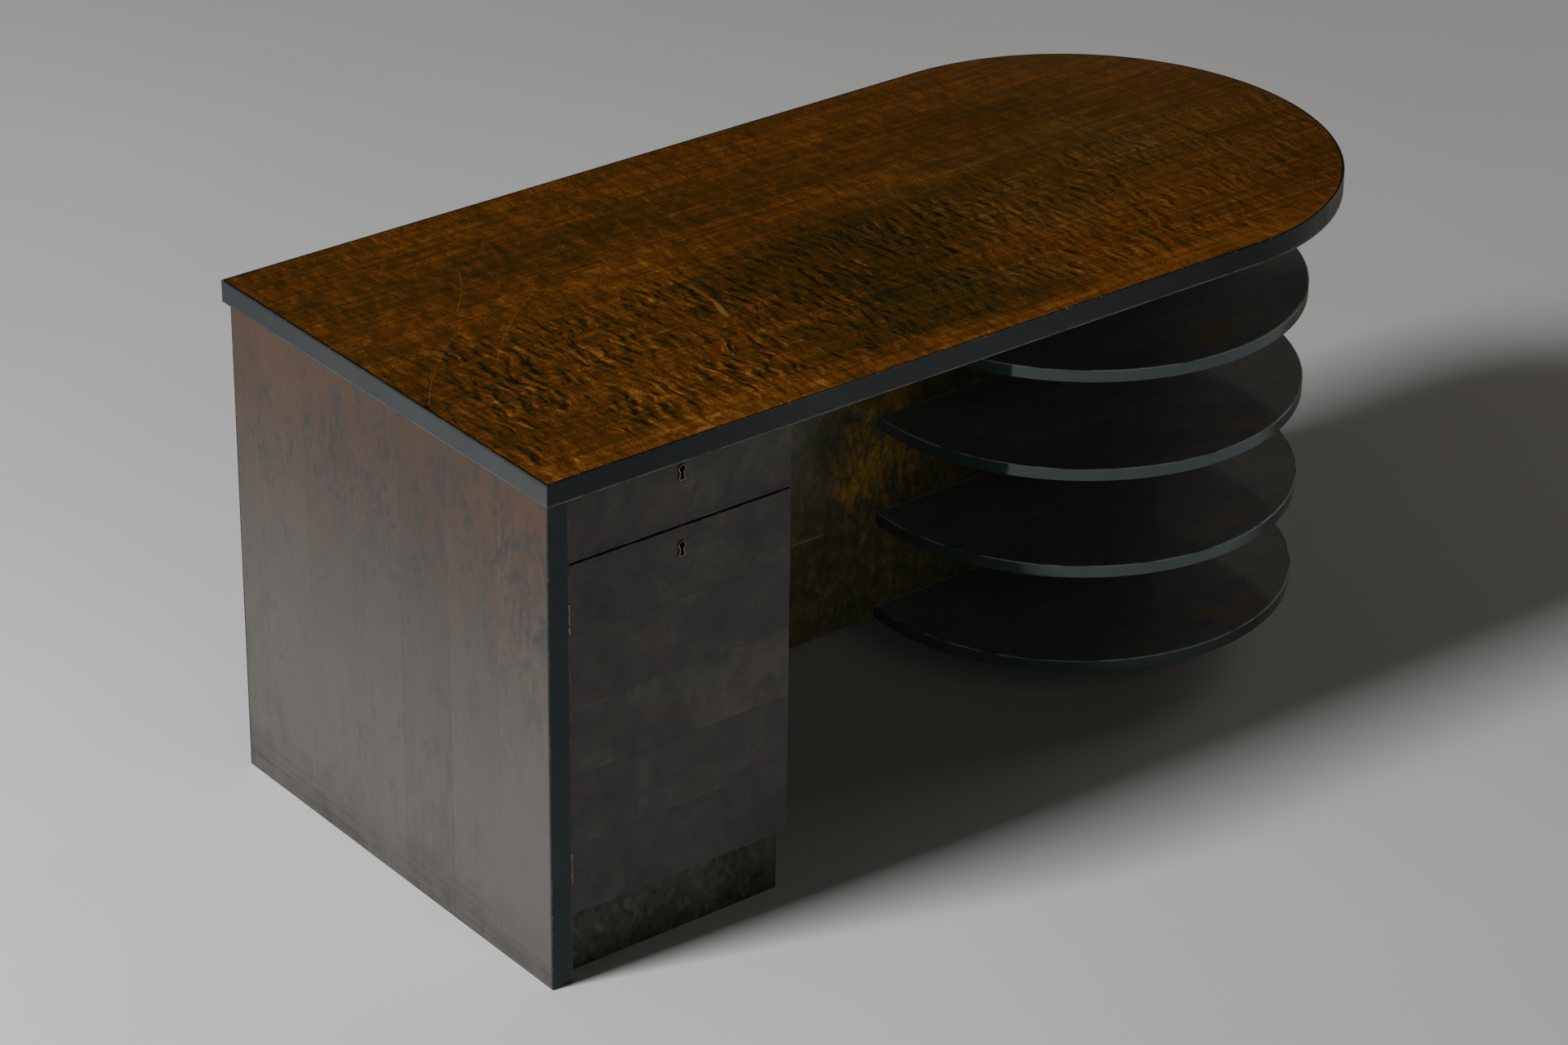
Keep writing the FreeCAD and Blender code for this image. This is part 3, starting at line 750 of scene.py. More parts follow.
def makeFrontFinish(node, setup):
    material, shader = newMaterial("frontVeneer_" + node, Specular_IOR_Level=0.36)
    liner, strips = setup[node]
    low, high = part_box(node)
    whole = objectPlace()
    x, y, z = split(whole)
    flat = objectPlace("XZY")
    leaves = useGroup(veneerLeaves, Vector=flat, Along=calc("SUBTRACT", z, low.z),
                      Width=(high.z - low.z) / len(strips), Seed=2.0 + len(strips))
    share = shareOf(z, low.z, high.z)
    stops = [(number / len(strips), (tone, tone, tone)) for number, tone in enumerate(strips)]
    striped = ramp(share, stops + [(1.0, stops[-1][1])], "CONSTANT")
    grain = useGroup(woodGrain, Vector=leaves["Vector"])
    slanted = spin(leaves["Vector"], times(leaves["Tone"], 2.6))
    figure = noise(slanted, (14, 26, 16), 5, 0.66, 1.1)
    clouds = noise(leaves["Vector"], (7, 10, 7), 5, 0.62, 0.8)
    tint = noise(leaves["Vector"], (9, 12, 9), 4, 0.6, 0.8)
    # painted shade: each front is darker towards its foot, more so towards the lower right
    shadedLowRight = times(fade(share, 0.45, 0.0, 0.0, -0.28), fade(x, (low.x + high.x) / 2, high.x))
    tone = addUp(striped, (clouds, 1.25), (figure, 1.0), (grain["Fibre"], 0.4),
                 fade(x, low.x, high.x, -0.06, 0.10), fade(share, 0.0, 0.24, -0.22, 0.0), shadedLowRight)
    colour = ramp(tone, setup["tones"])
    colour = mix(fade(tint, 0.54, 0.72, 0.0, 0.55), colour, setup["red"])
    colour = mix(fade(tint, 0.46, 0.30, 0.0, 0.55), colour, setup["green"])
    colour = mix(times(leaves["Joint"], 0.7), colour, setup["joint"])
    worn = useGroup(wornArris, Vector=whole, Distance=boardEdgeAt(whole, node),
                    Width=setup["rubWidth"], Amount=0.8)
    colour = mix(worn["Rub"], colour, setup["rub"])
    key = middleOf(liner)
    # grime and painted shade round the keyhole
    keyGrimeShade = patchOf(flat, key.x, key.z, *setup["keyGrimeAndShade"], 0, 0.1)
    marks = useGroup(scuffs, Vector=flat, Amount=0.5)
    feed(shader, Base_Color=mix(times(keyGrimeShade, 0.5), colour, setup["grimeAndShade"]),
         Roughness=addUp(0.31, times(keyGrimeShade, 0.3), (marks["Smear"], 0.14), (leaves["Tone"], 0.06)))
    height = addUp(times(grain["Fibre"], 0.3), times(leaves["Joint"], -0.8))
    bumpOn(shader, height, 0.0002, 0.4)
    return material


darkFinish = {
    "ripple": (0.03, 0.012),
    "gloss": 0.22,
    "streaky": 0.35,
    "paleLine": (0.62, 0.62, 0.58, 1),
}

plinthFinish = {
    **darkFinish,
    "tones": [(0.0, (0.014, 0.015, 0.014)), (0.5, (0.054, 0.052, 0.041)), (1.0, (0.120, 0.110, 0.078))],
    "curled": 2.2,
    "mirror": 0.12,
    "streaky": 0.08,
}

sideFinish = {
    **darkFinish,
    "tones": plinthFinish["tones"],
    "curled": 0.6,
    "mirror": 0.12,
}

# painted shade under the top: its core shows only from below
undersideShadeFinish = {
    **darkFinish,
    "tones": [(0.0, (0.006, 0.006, 0.005)), (0.5, (0.014, 0.013, 0.010)), (1.0, (0.030, 0.026, 0.018))],
    "curled": 0.3,
    "mirror": 0.4,
}

panelFinish = {
    **darkFinish,
    "tones": [(0.0, (0.019, 0.020, 0.011)), (0.45, (0.078, 0.072, 0.032)), (0.75, (0.145, 0.112, 0.038)),
              (1.0, (0.20, 0.13, 0.034))],
    "curled": 1.3,
    "mirror": 0.42,
    "gloss": 0.17,
    "kneeAmberPale": (0.40, 0.19, 0.010, 1),
    "kneeAmberDeep": (0.14, 0.078, 0.010, 1),
    "kneeShade": (0.021, 0.023, 0.015, 1),
    "kneeAmberPatch": (0.08, 0.44, 0.10, 0.26, 0),  # a paler amber patch on the panel's face: x, z, half width, half height, turn
    "scratchReach": (-0.078, -0.068, -0.024, -0.014),  # along x, a scratch comes and goes
    "scratchHeight": 0.257,
    "scratchWidth": (0.0004, 0.0012),
}

shelfFinish = {
    **darkFinish,
    "tones": [(0.0, (0.065, 0.074, 0.088)), (0.5, (0.125, 0.139, 0.152)), (1.0, (0.20, 0.20, 0.15))],
    "curled": 0.6,
    "mirror": 0.45,
    "gloss": 0.1,
    # painted shade on the undersides of the shelves
    "underside": (0.012, 0.011, 0.009, 1),
    # painted light: lit amber wood near the right front
    "litAmber": (0.24, 0.14, 0.03, 1),
    "litAmberPatch": (0.47, -0.285, 0.15, 0.042, 0),  # a painted pool of light on each shelf: x, y, half length, half width, turn
    "jointLineWidth": (0.0008, 0.0026),  # in the corner along the panel: dust and a painted highlight
    "jointLineEnd": 0.001,
}


def makeDarkFinish(name, order, setup, touchUp=None):
    material, shader = newMaterial(name, Specular_IOR_Level=setup["mirror"])
    place = objectPlace(order)
    grain = useGroup(woodGrain, Vector=place)
    pitch, length = setup["ripple"]
    ripples = useGroup(curl, Vector=place, Pitch=pitch, Reach=length)
    mottle = noise(place, (10, 16, 16), 5, 0.66, 0.6)
    # the curl's slope paints light and shade on each wave
    tone = addUp(0.45, (grain["Cloud"], 0.5), (grain["Streak"], setup["streaky"]), (grain["Fibre"], 0.2),
                 (mottle, 0.75), times(ripples["Slope"], setup["curled"]))
    colour = ramp(tone, setup["tones"])
    if touchUp:
        colour = touchUp(place, mottle, colour, setup)
    marks = useGroup(scuffs, Vector=place, Amount=0.4)
    feed(shader, Base_Color=colour, Roughness=addUp(setup["gloss"], (marks["Smear"], 0.12)))
    bumpOn(shader, addUp(times(grain["Fibre"], 0.3), ripples["Height"]), 0.0002, 0.12)
    return material


def touchUpPanel(place, mottle, colour, setup):
    x, y, z = split(objectPlace())
    front = calc("LESS_THAN", y, middleOf("modesty_panel").y)
    # a paler amber patch low on the panel's face, in front
    rubbed = times(patchOf(objectPlace("XZY"), *setup["kneeAmberPatch"], ragged=1.1), front)
    spots = noise(place, (34, 62, 62), 6, 0.75, 0.3)
    paleAmberMask = addUp(times(rubbed, 0.85), (spots, 4.6), (mottle, 1.8))
    paleAmberMask = times(fade(paleAmberMask, 0.2, 1.5), fade(rubbed, 0.0, 0.5))
    flecks = noise(place, (46, 70, 70), 5, 0.7, 0.9)
    colour = mix(fade(flecks, 0.34, 0.68, 0.0, 0.7), colour, setup["kneeShade"])
    worn = mix(fade(flecks, 0.3, 0.7), setup["kneeAmberPale"], setup["kneeAmberDeep"])
    colour = mix(paleAmberMask, colour, worn)
    line = fade(gapTo(z, setup["scratchHeight"]), *setup["scratchWidth"], 0.32, 0.0)
    line = times(line, stretch(x, *setup["scratchReach"]), front)
    return mix(line, colour, setup["paleLine"])


def touchUpShelfTop(place, mottle, colour, setup):
    panelLow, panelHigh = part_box("modesty_panel")
    x, y, z = split(objectPlace())
    # painted pool of light near the right front of each shelf
    litAmber = times(patchOf(place, *setup["litAmberPatch"]), fade(mottle, 0.42, 0.66, 0.0, 0.4))
    colour = mix(litAmber, colour, setup["litAmber"])
    # dust and a painted highlight in the corner along the panel, ending at the panel's end
    paleMask = fade(gapTo(y, panelLow.y), *setup["jointLineWidth"], 0.9, 0.0)
    ended = fade(x, panelHigh.x + setup["jointLineEnd"], panelHigh.x - setup["jointLineEnd"])
    colour = mix(times(paleMask, ended), colour, setup["paleLine"])
    # painted shade: faces turned downwards are darker
    facing = split(addNode("NewGeometry").outputs["Normal"])["Z"]
    return mix(fade(facing, -0.3, -0.6), colour, setup["underside"])


lacquerFinish = {
    "black": (0.009, 0.017, 0.020, 1),
    "worn": (0.018, 0.027, 0.031, 1),
    "rub": (0.12, 0.12, 0.12, 1),
    "chip": (0.30, 0.21, 0.13, 1),
    "rubWidth": 0.0024,
    "gloss": 0.26,
    "mirror": 0.25,
    "bend": 1.5,  # index of refraction
    "sheen": (0.85, 1.0, 1.0, 1),
    # painted highlight along the inner side of the gable's front band
    "innerRimHighlight": (0.20, 0.19, 0.17, 1),
    "innerRimReach": (-0.0020, -0.0006),
}

topLacquer = {
    **lacquerFinish,
    "black": (0.029, 0.034, 0.036, 1),
    "worn": (0.041, 0.045, 0.047, 1),
    "mirror": 0.26,
    "sheen": (0.9, 1.0, 1.0, 1),
    # painted shade: the darker black where the band has no painted sheen
    "shadedBlack": (0.006, 0.011, 0.013, 1),
    "palerPart": (-0.70, -0.30, 0.0, 0.38),  # along the front, a stretch of painted sheen comes and goes; outside it the band is painted darker, as shade
    "leftEnd": (0.0030, 0.0010),  # the square end, with painted sheen towards its front and painted shade towards its rear
    # painted reflection on the round end
    "tip": (0.11, 0.105, 0.125, 1),
    "tipReflectionReach": (0.575, 0.60, 0.64, 0.70),  # along the round end, a painted reflection comes and goes
    "upperRim": (0.003, 0.003, 0.003, 1),
    "upperRimReach": (0.0004, 0.0012),
    "brow": (-0.006, -0.0008),  # shade under the upper arris of the square end
    # painted highlight along the lower arris
    "lowerRimHighlight": (0.19, 0.20, 0.20, 1),
    "lowerRimReach": (0.0034, 0.0014),
}

shelfLacquer = {
    **lacquerFinish,
    "black": (0.024, 0.040, 0.042, 1),
    "worn": (0.032, 0.050, 0.052, 1),
    "rub": (0.14, 0.15, 0.15, 1),
    "rubWidth": 0.0022,
    "gloss": 0.07,
    "mirror": 0.8,
    "bend": 1.6,
    "sheen": (0.82, 1.0, 1.0, 1),
    # painted highlight along the upper arris of each shelf's lipping
    "upperRim": (0.34, 0.36, 0.36, 1),
    "upperRimDrop": 0.0004,
    "upperRimReach": (0.0014, 0.0004),
}

lowestShelfLacquer = {
    **shelfLacquer,
    "mirror": 0.4,  # the lowest shelf has lost its polish
}


def makeLacquer(name, node, setup, edgeAt=boardEdgeAt, touchUp=None):
    material, shader = newMaterial(name, Specular_IOR_Level=setup["mirror"], IOR=setup["bend"],
                                         Specular_Tint=setup["sheen"])
    whole = objectPlace()
    marks = useGroup(scuffs, Vector=whole, Amount=0.5)
    colour = mix(fade(marks["Smear"], 0.3, 0.75), setup["black"], setup["worn"])
    worn = useGroup(wornArris, Vector=whole, Distance=edgeAt(whole, node), Width=setup["rubWidth"],
                    Amount=0.35)
    colour = mix(worn["Rub"], colour, setup["rub"])
    if touchUp:
        colour = touchUp(whole, colour, setup)
    feed(shader, Base_Color=mix(times(worn["Chips"], 0.9), colour, setup["chip"]),
         Roughness=addUp(setup["gloss"], (marks["Smear"], 0.08), times(worn["Rub"], 0.2)))
    bumpOn(shader, marks["Smear"], 0.0006, 0.12)
    return material


def touchUpTop(whole, colour, setup):
    low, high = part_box("top_edge_band")
    x, y, z = split(whole)
    # painted sheen along a stretch of the front and at the square end; painted shade elsewhere
    left = fadeFrom(low.x, setup["leftEnd"], x)
    paleMask = calc("MAXIMUM", stretch(x, *setup["palerPart"]), left)
    colour = mix(paleMask, setup["shadedBlack"], colour)
    # painted reflection on the round end, towards its front
    paler = times(stretch(x, *setup["tipReflectionReach"]), fade(y, 0.0, -0.1))
    colour = mix(paler, colour, setup["tip"])
    # painted shade towards the rear of the square end
    rearward = times(fade(y, -0.15, high.y, 0.0, 0.68), left)
    colour = mix(rearward, colour, setup["shadedBlack"])
    brow = times(fadeFrom(high.z, setup["brow"], z, 0.0, 0.6), left)
    colour = mix(brow, colour, setup["upperRim"])
    # painted highlight along the lower arris, weaker on the square end
    lower = times(fadeFrom(low.z, setup["lowerRimReach"], z),
                  brokenUp(whole, 22, 0.35, 0.55, 0.25), fade(left, 0.0, 1.0, 1.0, 0.3))
    colour = mix(lower, colour, setup["lowerRimHighlight"])
    rim = fade(topEdgeAt(whole, "top_edge_band", "Rim"), *setup["upperRimReach"])
    return mix(rim, colour, setup["upperRim"])


def touchUpGable(whole, colour, setup):
    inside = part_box("gable_front_band")[1].x
    # painted highlight along the inner side, broken up
    rim = fadeFrom(inside, setup["innerRimReach"], split(whole)["X"])
    rim = times(rim, brokenUp(whole, 9, 0.35, 0.6, 0.1))
    return mix(rim, colour, setup["innerRimHighlight"])


def touchUpShelf(whole, colour, setup):
    z = split(whole)["Z"]
    broken = brokenUp(whole, 14, 0.38, 0.55, 0.1)
    # painted highlight along each upper arris
    for number in (1, 2, 3, 4):
        gap = gapTo(z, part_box("shelf_band_%d" % number)[1].z - setup["upperRimDrop"])
        rim = times(fade(gap, *setup["upperRimReach"]), broken)
        colour = mix(rim, colour, setup["upperRim"])
    return colour


birchFinish = {
    "tones": [(0.0, (0.22, 0.13, 0.06)), (0.5, (0.40, 0.26, 0.13)), (1.0, (0.52, 0.36, 0.20))],
}


def makeBirch(name, order, setup):
    material, shader = newMaterial(name)
    place = objectPlace(order)
    grain = useGroup(woodGrain, Vector=place)
    tone = addUp(0.5, (grain["Cloud"], 0.5), (grain["Streak"], 0.5), (grain["Fibre"], 0.3),
                 times(grain["Fleck"], -0.3))
    feed(shader, Base_Color=ramp(tone, setup["tones"]), Roughness=addUp(0.5, (grain["Streak"], 0.2)))
    bumpOn(shader, grain["Fibre"], 0.0002, 0.4)
    return material


metalFinish = {  # bright and dull colour of each metal
    "keyBrass": ((0.46, 0.29, 0.19, 1), (0.040, 0.020, 0.013, 1)),
    "darkBrass": ((0.28, 0.25, 0.20, 1), (0.05, 0.042, 0.035, 1)),
    "lockSteel": ((0.46, 0.44, 0.41, 1), (0.15, 0.13, 0.11, 1)),
    "keyBright": (0.0001, 0.0006),  # the liner is rubbed bright to this depth behind its face
}


def makeMetal(name, setup):
    material, shader = newMaterial(name, Metallic=1.0)
    place = objectPlace()
    tarnish = noise(place, (140, 140, 140), 4, 0.65)
    brushed = noise(place, (300, 300, 2600), 2)
    cover = fade(tarnish, 0.35, 0.7)
    feed(shader, Base_Color=mix(cover, *setup[name]),
         Roughness=addUp(0.24, times(cover, 0.25), (brushed, 0.15)))
    bumpOn(shader, addUp(tarnish, times(brushed, 0.3)), 0.0001, 0.3)
    return material


def makeKeyBrass(node, setup):
    material, shader = newMaterial("keyBrass_" + node, Metallic=1.0)
    place = objectPlace()
    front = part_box(node)[0].y
    tarnish = noise(place, (400, 400, 400), 3, 0.6)
    behind = fadeFrom(front, setup["keyBright"], split(place)["Y"])
    cover = addUp(behind, (tarnish, 1.2))
    feed(shader, Base_Color=mix(fade(cover, 0.1, 0.9), *setup["keyBrass"]),
         Roughness=fade(cover, 0.0, 1.0, 0.2, 0.45))
    bumpOn(shader, tarnish, 0.0001, 0.3)
    return material


topVeneer = makeTopFinish(topFinish)
gableVeneer = makeGableFinish("left_gable", gableFinish)
plinthVeneer = makeDarkFinish("plinthVeneer", "ZXY", plinthFinish)
panelVeneer = makeDarkFinish("panelVeneer", "ZXY", panelFinish, touchUpPanel)
sideVeneer = makeDarkFinish("pedestalSideVeneer", "ZYX", sideFinish)
undersideShadeVeneer = makeDarkFinish("undersideStain", "XYZ", undersideShadeFinish)
shelfVeneer = makeDarkFinish("shelfVeneer", "XYZ", shelfFinish, touchUpShelfTop)
birchAlongX = makeBirch("birchAlongX", "XYZ", birchFinish)
birchAlongY = makeBirch("birchAlongY", "YXZ", birchFinish)
birchAlongZ = makeBirch("birchAlongZ", "ZXY", birchFinish)
darkBrass = makeMetal("darkBrass", metalFinish)
lockSteel = makeMetal("lockSteel", metalFinish)
print("finishes ready:", len(bpy.data.materials))


# New pieces

def addDisc(name, points, radius, place, turn=origin):
    deselect()
    bpy.ops.mesh.primitive_circle_add(vertices=points, radius=radius, fill_type="NGON", location=place,
                                      rotation=turn)
    return startEdit(name)


lipping = {
    "thickness": 0.003,
    "arris": 0.0009,
    "arrisSteps": 3,
    "roundPoints": 288,
}


def makeTopLipping(setup):
    low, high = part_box("top_edge_band")
    radius = (high.y - low.y) / 2
    roundX = high.x - radius

    def outside(co):
        return near(co.x, low.x) or near(math.hypot(max(co.x - roundX, 0), co.y), radius)

    piece = addDisc("top_lipping", setup["roundPoints"], radius, (roundX, 0, low.z))
    selectAll()
    bpy.ops.mesh.bisect(plane_co=(roundX, 0, low.z), plane_no=(1, 0, 0), clear_inner=True)
    pick("EDGE", lambda co: near(co.x, roundX))
    pull(x=low.x - roundX)  # straight run to the left end
    hollow(setup["thickness"])
    thicken(z=high.z - low.z)
    level = [lambda co, height=height: outside(co) and near(co.z, height) for height in (low.z, high.z)]
    corner = [lambda co, side=side: near(co.x, low.x) and near(co.y, side) for side in (low.y, high.y)]
    pick("EDGE", *level, *corner)
    roundOff(setup["arris"], setup["arrisSteps"])
    return endEdit(piece)


shelfLipping = {
    "thickness": 0.0025,
    "arris": 0.0008,
    "arrisSteps": 3,
    "roundPoints": 288,
}


def makeShelfLipping(setup):
    low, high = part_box("shelf_band_1")
    panelLow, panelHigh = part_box("modesty_panel")
    radius = (high.y - low.y) / 2
    middle = high.x - radius

    def outside(co):
        return near(math.hypot(co.x - middle, co.y), radius)

    piece = addDisc("shelf_lipping_1", setup["roundPoints"], radius, (middle, 0, low.z))
    hollow(setup["thickness"])
    for cut in (panelLow.y, panelHigh.y):  # gap where the panel passes
        selectAll()
        bpy.ops.mesh.bisect(plane_co=(middle, cut, low.z), plane_no=(0, 1, 0))
    pick("FACE", lambda co: panelLow.y - tiny < co.y < panelHigh.y + tiny and co.x < middle)
    bpy.ops.mesh.delete(type="FACE")
    thicken(z=high.z - low.z)
    level = [lambda co, height=height: outside(co) and near(co.z, height) for height in (low.z, high.z)]
    pick("EDGE", *level)
    roundOff(setup["arris"], setup["arrisSteps"])
    return endEdit(piece)


keyholeLiner = {
    "headRadius": 0.006,
    "neckWidth": 0.0068,
    "skirtWidth": 0.0104,
    "wall": 0.0012,
    "lip": 0.0004,
    "lipSteps": 3,
    "roundPoints": 48,
    "smoothAngle": 40,
}


def makeKeyholeLiner(node, name, setup):
    low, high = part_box(node)
    keyX = (low.x + high.x) / 2
    headZ = high.z - setup["headRadius"]
    neckZ = headZ - math.sqrt(setup["headRadius"] ** 2 - (setup["neckWidth"] / 2) ** 2)
    piece = addDisc(name, setup["roundPoints"], setup["headRadius"], (keyX, low.y, headZ),
                    (math.radians(90), 0, 0))
    selectAll()
    bpy.ops.mesh.bisect(plane_co=(keyX, low.y, neckZ), plane_no=(0, 0, 1), clear_inner=True)
    pick("EDGE", lambda co: near(co.z, neckZ))
    pull(z=low.z - neckZ)  # skirt under the round head
    pick("VERT", lambda co: near(co.z, low.z))
    widen(setup["skirtWidth"] / setup["neckWidth"], 1, (keyX, low.y, low.z))
    hollow(setup["wall"])
    thicken(y=high.y - low.y)
    pick("EDGE", lambda co: near(co.y, low.y))
    roundOff(setup["lip"], setup["lipSteps"])
    return endEdit(piece, setup["smoothAngle"])


hingeScrew = {
    "points": 24,
    "headRadius": 0.0024,
    "shankRadius": 0.00115,
    "tip": 0.3,  # share of the shank's width at its point
    "sink": 0.0015,  # depth of the countersunk head
    "length": 0.0145,
    "slotWidth": 0.0006,
    "slotDepth": 0.0005,
    "spread": 0.56,  # share of the leaf's height between its two screws
    "smoothAngle": 40,
}

lockScrew = {
    "points": 24,
    "headRadius": 0.0026,
    "shankRadius": 0.0013,
    "tip": 0.3,
    "rise": 0.0016,  # height of the round head
    "dome": 0.0007,
    "domeSteps": 3,
    "slotWidth": 0.0006,
    "slotDepth": 0.0006,
    "acrossSpots": (-0.023, 0.023),
    "upSpots": (-0.017, 0.002),
    "smoothAngle": 40,
}


def startScrew(name, neck, length, setup):
    deselect()
    bpy.ops.mesh.primitive_cylinder_add(vertices=setup["points"], radius=setup["shankRadius"], depth=length,
                                        location=(0, 0, neck - length / 2))
    piece = startEdit(name)
    pick("VERT", lambda co: near(co.z, neck - length))
    widen(setup["tip"], setup["tip"], (0, 0, neck - length))
    pick("FACE", lambda co: near(co.z, neck))
    return piece


def widenHead(setup):
    wider = setup["headRadius"] / setup["shankRadius"]
    widen(wider, wider, origin)


def cutSlot(face, setup):
    for side in (-1, 1):
        pick("FACE", lambda co: near(co.z, face))
        bpy.ops.mesh.bisect(plane_co=(side * setup["slotWidth"] / 2, 0, face), plane_no=(1, 0, 0))
    pick("FACE", lambda co: near(co.z, face) and abs(co.x) < setup["slotWidth"])
    pull(z=-setup["slotDepth"])


def makeHingeScrew(setup):
    piece = startScrew("hinge_screw", -setup["sink"], setup["length"] - setup["sink"], setup)
    pull(z=setup["sink"])
    widenHead(setup)
    cutSlot(0, setup)
    return endEdit(piece, setup["smoothAngle"])


def makeLockScrew(length, setup):
    piece = startScrew("lock_screw", 0, length, setup)
    pull()
    widenHead(setup)
    pull(z=setup["rise"])
    pick("EDGE", lambda co: near(co.z, setup["rise"]))
    roundOff(setup["dome"], setup["domeSteps"])
    cutSlot(setup["rise"], setup)
    return endEdit(piece, setup["smoothAngle"])


def placeScrews(name, model, spots, way):
    turn = Vector(way).to_track_quat("Z", "Y").to_matrix().to_4x4()
    copies = []
    for number, spot in enumerate(spots):
        twist = Matrix.Rotation(math.radians(35 + 50 * number), 4, "Z")  # slots stand at odd angles
        copies.append(copyPiece(model, "%s_%d" % (name, number), Matrix.Translation(spot) @ turn @ twist))
    deselect()
    for copy in copies:
        copy.select_set(True)
    bpy.context.view_layer.objects.active = copies[0]
    bpy.ops.object.join()
    joined = bpy.context.object
    joined.name = name
    joined.data.name = name
    return joined


def hingeScrewSpots(node, leaves, face):
    spots = []
    for leaf in leaves:
        leafLow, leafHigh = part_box(leaf)
        reach = (leafHigh.z - leafLow.z) * hingeScrew["spread"] / 2
        spots += [(face, middleOf(node).y, middleOf(leaf).z + side * reach) for side in (-1, 1)]
    return spots


def lockScrewSpots(node, liner):
    keyX = middleOf(liner).x
    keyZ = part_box(liner)[1].z - keyholeLiner["headRadius"]
    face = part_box(node)[1].y - lockScrew["rise"]
    return [(keyX + across, face, keyZ + up)
            for across in lockScrew["acrossSpots"] for up in lockScrew["upSpots"]]


# CAD nodes that keep their shape: softened arrises and a finish

softArris = {
    "steps": 2,
    "flatAngle": 1,  # in degrees: faces that meet flatter than this become one
    "sharpAngle": 50,  # edges sharper than this are softened
    "usualWidth": 0.0005,  # and the width on nodes that differ:
    "top_veneer": 0.0, "top_core": 0.0, "top_dowels": 0.0,
    "upper_gable_leaf": 0.0001, "lower_gable_leaf": 0.0001,
    "upper_door_leaf": 0.0001, "lower_door_leaf": 0.0001,
    "upper_hinge_pin": 0.0, "lower_hinge_pin": 0.0,
    "drawer_lock_case": 0.0003, "door_lock_case": 0.0003, "drawer_lock_cap": 0.0002, "door_lock_cap": 0.0002,
    "round_plinth": 0.001,
}


def softenEdges(node, setup):
    width = setup.get(node, setup["usualWidth"])
    if not width:
        return
    piece = cadNodes[node]
    weld = piece.modifiers.new("weld", "WELD")
    weld.merge_threshold = tiny
    flat = piece.modifiers.new("flat", "DECIMATE")
    flat.decimate_type = "DISSOLVE"
    flat.angle_limit = math.radians(setup["flatAngle"])
    bevel = piece.modifiers.new("arris", "BEVEL")
    bevel.width = width
    bevel.segments = setup["steps"]
    bevel.limit_method = "ANGLE"
    bevel.angle_limit = math.radians(setup["sharpAngle"])
    bevel.use_clamp_overlap = True
    bevel.harden_normals = True


def dress(material, *names):
    for name in names:
        piece = cadNodes[name]
        piece.data.materials.clear()
        piece.data.materials.append(material)
        softenEdges(name, softArris)


makeCamera(cameraSetup)
for name, setup in (("keyLight", keyLight), ("fillLight", fillLight), ("frontLight", frontLight)):
    makeLamp(name, setup)
makeWorld(studio)
makeFloor(studio)
makeReflectionGlowCard(reflectionGlowCard)
print("stage ready")

lacquer = makeLacquer("lacquer_top", "top_edge_band", topLacquer, topEdgeAt, touchUpTop)
settle(makeTopLipping(lipping), lacquer, "carcass", "black_lacquer", "top_edge_band")
firstBand = makeShelfLipping(shelfLipping)
for number in (1, 2, 3, 4):
    node = "shelf_band_%d" % number
    band = firstBand
    if number > 1:
        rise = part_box(node)[0].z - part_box("shelf_band_1")[0].z
        band = copyPiece(firstBand, "shelf_lipping_%d" % number, Matrix.Translation((0, 0, rise)))
    finish = lowestShelfLacquer if number == 1 else shelfLacquer
    lacquer = makeLacquer("lacquer_" + node, node, finish, roundEdgeAt, touchUpShelf)
    settle(band, lacquer, "carcass", "black_lacquer", node)
for body in ("drawer", "door"):
    node = body + "_escutcheon"
    piece = makeKeyholeLiner(node, body + "_keyhole_liner", keyholeLiner)
    settle(piece, makeKeyBrass(node, metalFinish), body, "brass", node)
hingeModel = makeHingeScrew(hingeScrew)
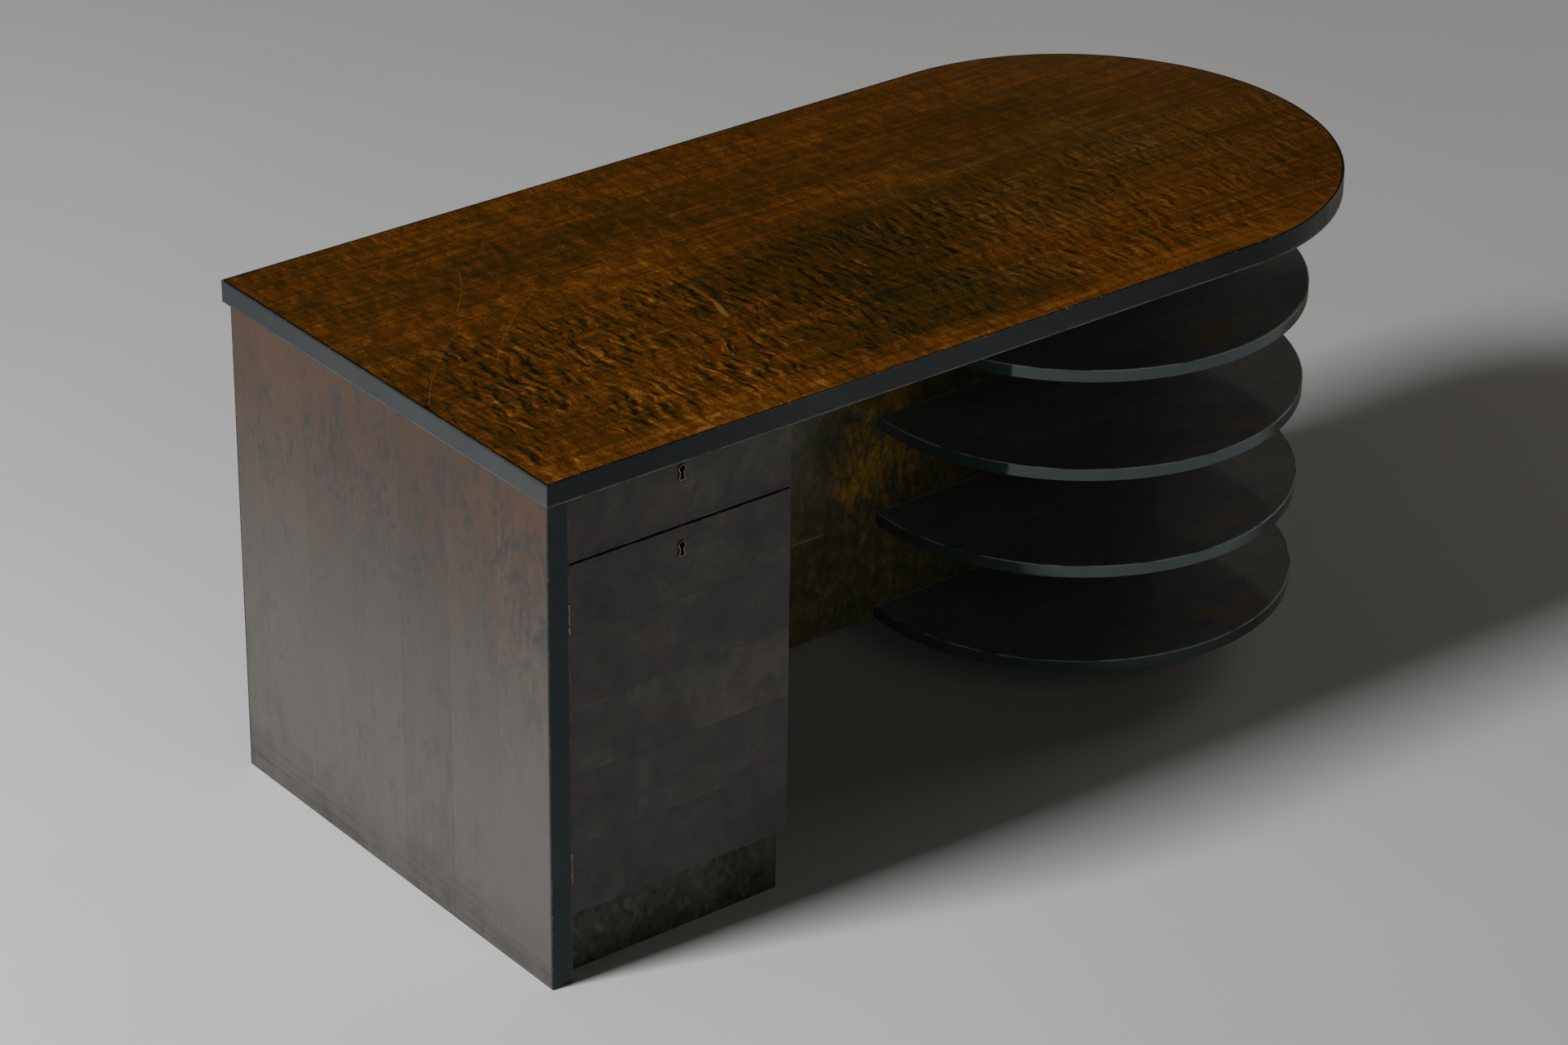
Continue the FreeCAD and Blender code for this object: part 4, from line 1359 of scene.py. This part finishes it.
for body, leafEnd, way in (("carcass", "gable_leaf", (1, 0, 0)), ("door", "door_leaf", (-1, 0, 0))):
    node = leafEnd.replace("leaf", "hinge_screws")
    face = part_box(node)[1 if way[0] > 0 else 0].x
    spots = hingeScrewSpots(node, ("upper_" + leafEnd, "lower_" + leafEnd), face)
    settle(placeScrews("slotted_" + node, hingeModel, spots, way), darkBrass, body, "brass", node)
lockLow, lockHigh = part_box("drawer_lock_screws")
lockModel = makeLockScrew(lockHigh.y - lockLow.y - lockScrew["rise"], lockScrew)
for body in ("drawer", "door"):
    node = body + "_lock_screws"
    spots = lockScrewSpots(node, body + "_escutcheon")
    settle(placeScrews("slotted_" + node, lockModel, spots, (0, 1, 0)), lockSteel, body, "lock_steel", node)
for model in (hingeModel, lockModel):
    bpy.data.objects.remove(model)
print("new pieces ready")

dress(topVeneer, "top_veneer")
dress(gableVeneer, "left_gable")
for node in ("cupboard_door", "drawer_front"):
    dress(makeFrontFinish(node, frontFinish), node)
dress(plinthVeneer, "plinth_front", "plinth_rear")
dress(panelVeneer, "modesty_panel")
dress(sideVeneer, "pedestal_side", "pedestal_back")
dress(shelfVeneer, "round_shelf_1", "round_shelf_2", "round_shelf_3", "round_shelf_4")
dress(makeLacquer("lacquer_gable_front", "gable_front_band", lacquerFinish, touchUp=touchUpGable),
      "gable_front_band")
for node in ("gable_rear_band", "panel_end_band", "round_plinth"):
    dress(makeLacquer("lacquer_" + node, node, lacquerFinish), node)
# painted shade on the underside of the top
dress(undersideShadeVeneer, "top_core")
dress(birchAlongX, "pedestal_bottom", "pedestal_divider", "cupboard_shelf", "drawer_back")
dress(birchAlongY, "drawer_left_side", "drawer_right_side", "drawer_bottom")
dress(birchAlongZ, "top_dowels")
dress(darkBrass, "upper_gable_leaf", "lower_gable_leaf", "upper_door_leaf", "lower_door_leaf",
      "upper_hinge_pin", "lower_hinge_pin", "shelf_pegs")
dress(lockSteel, "drawer_lock_case", "door_lock_case", "drawer_lock_cap", "door_lock_cap", "drawer_bolt",
      "door_bolt")
print("CAD nodes dressed")

bpy.context.scene.view_settings.view_transform = "Standard"
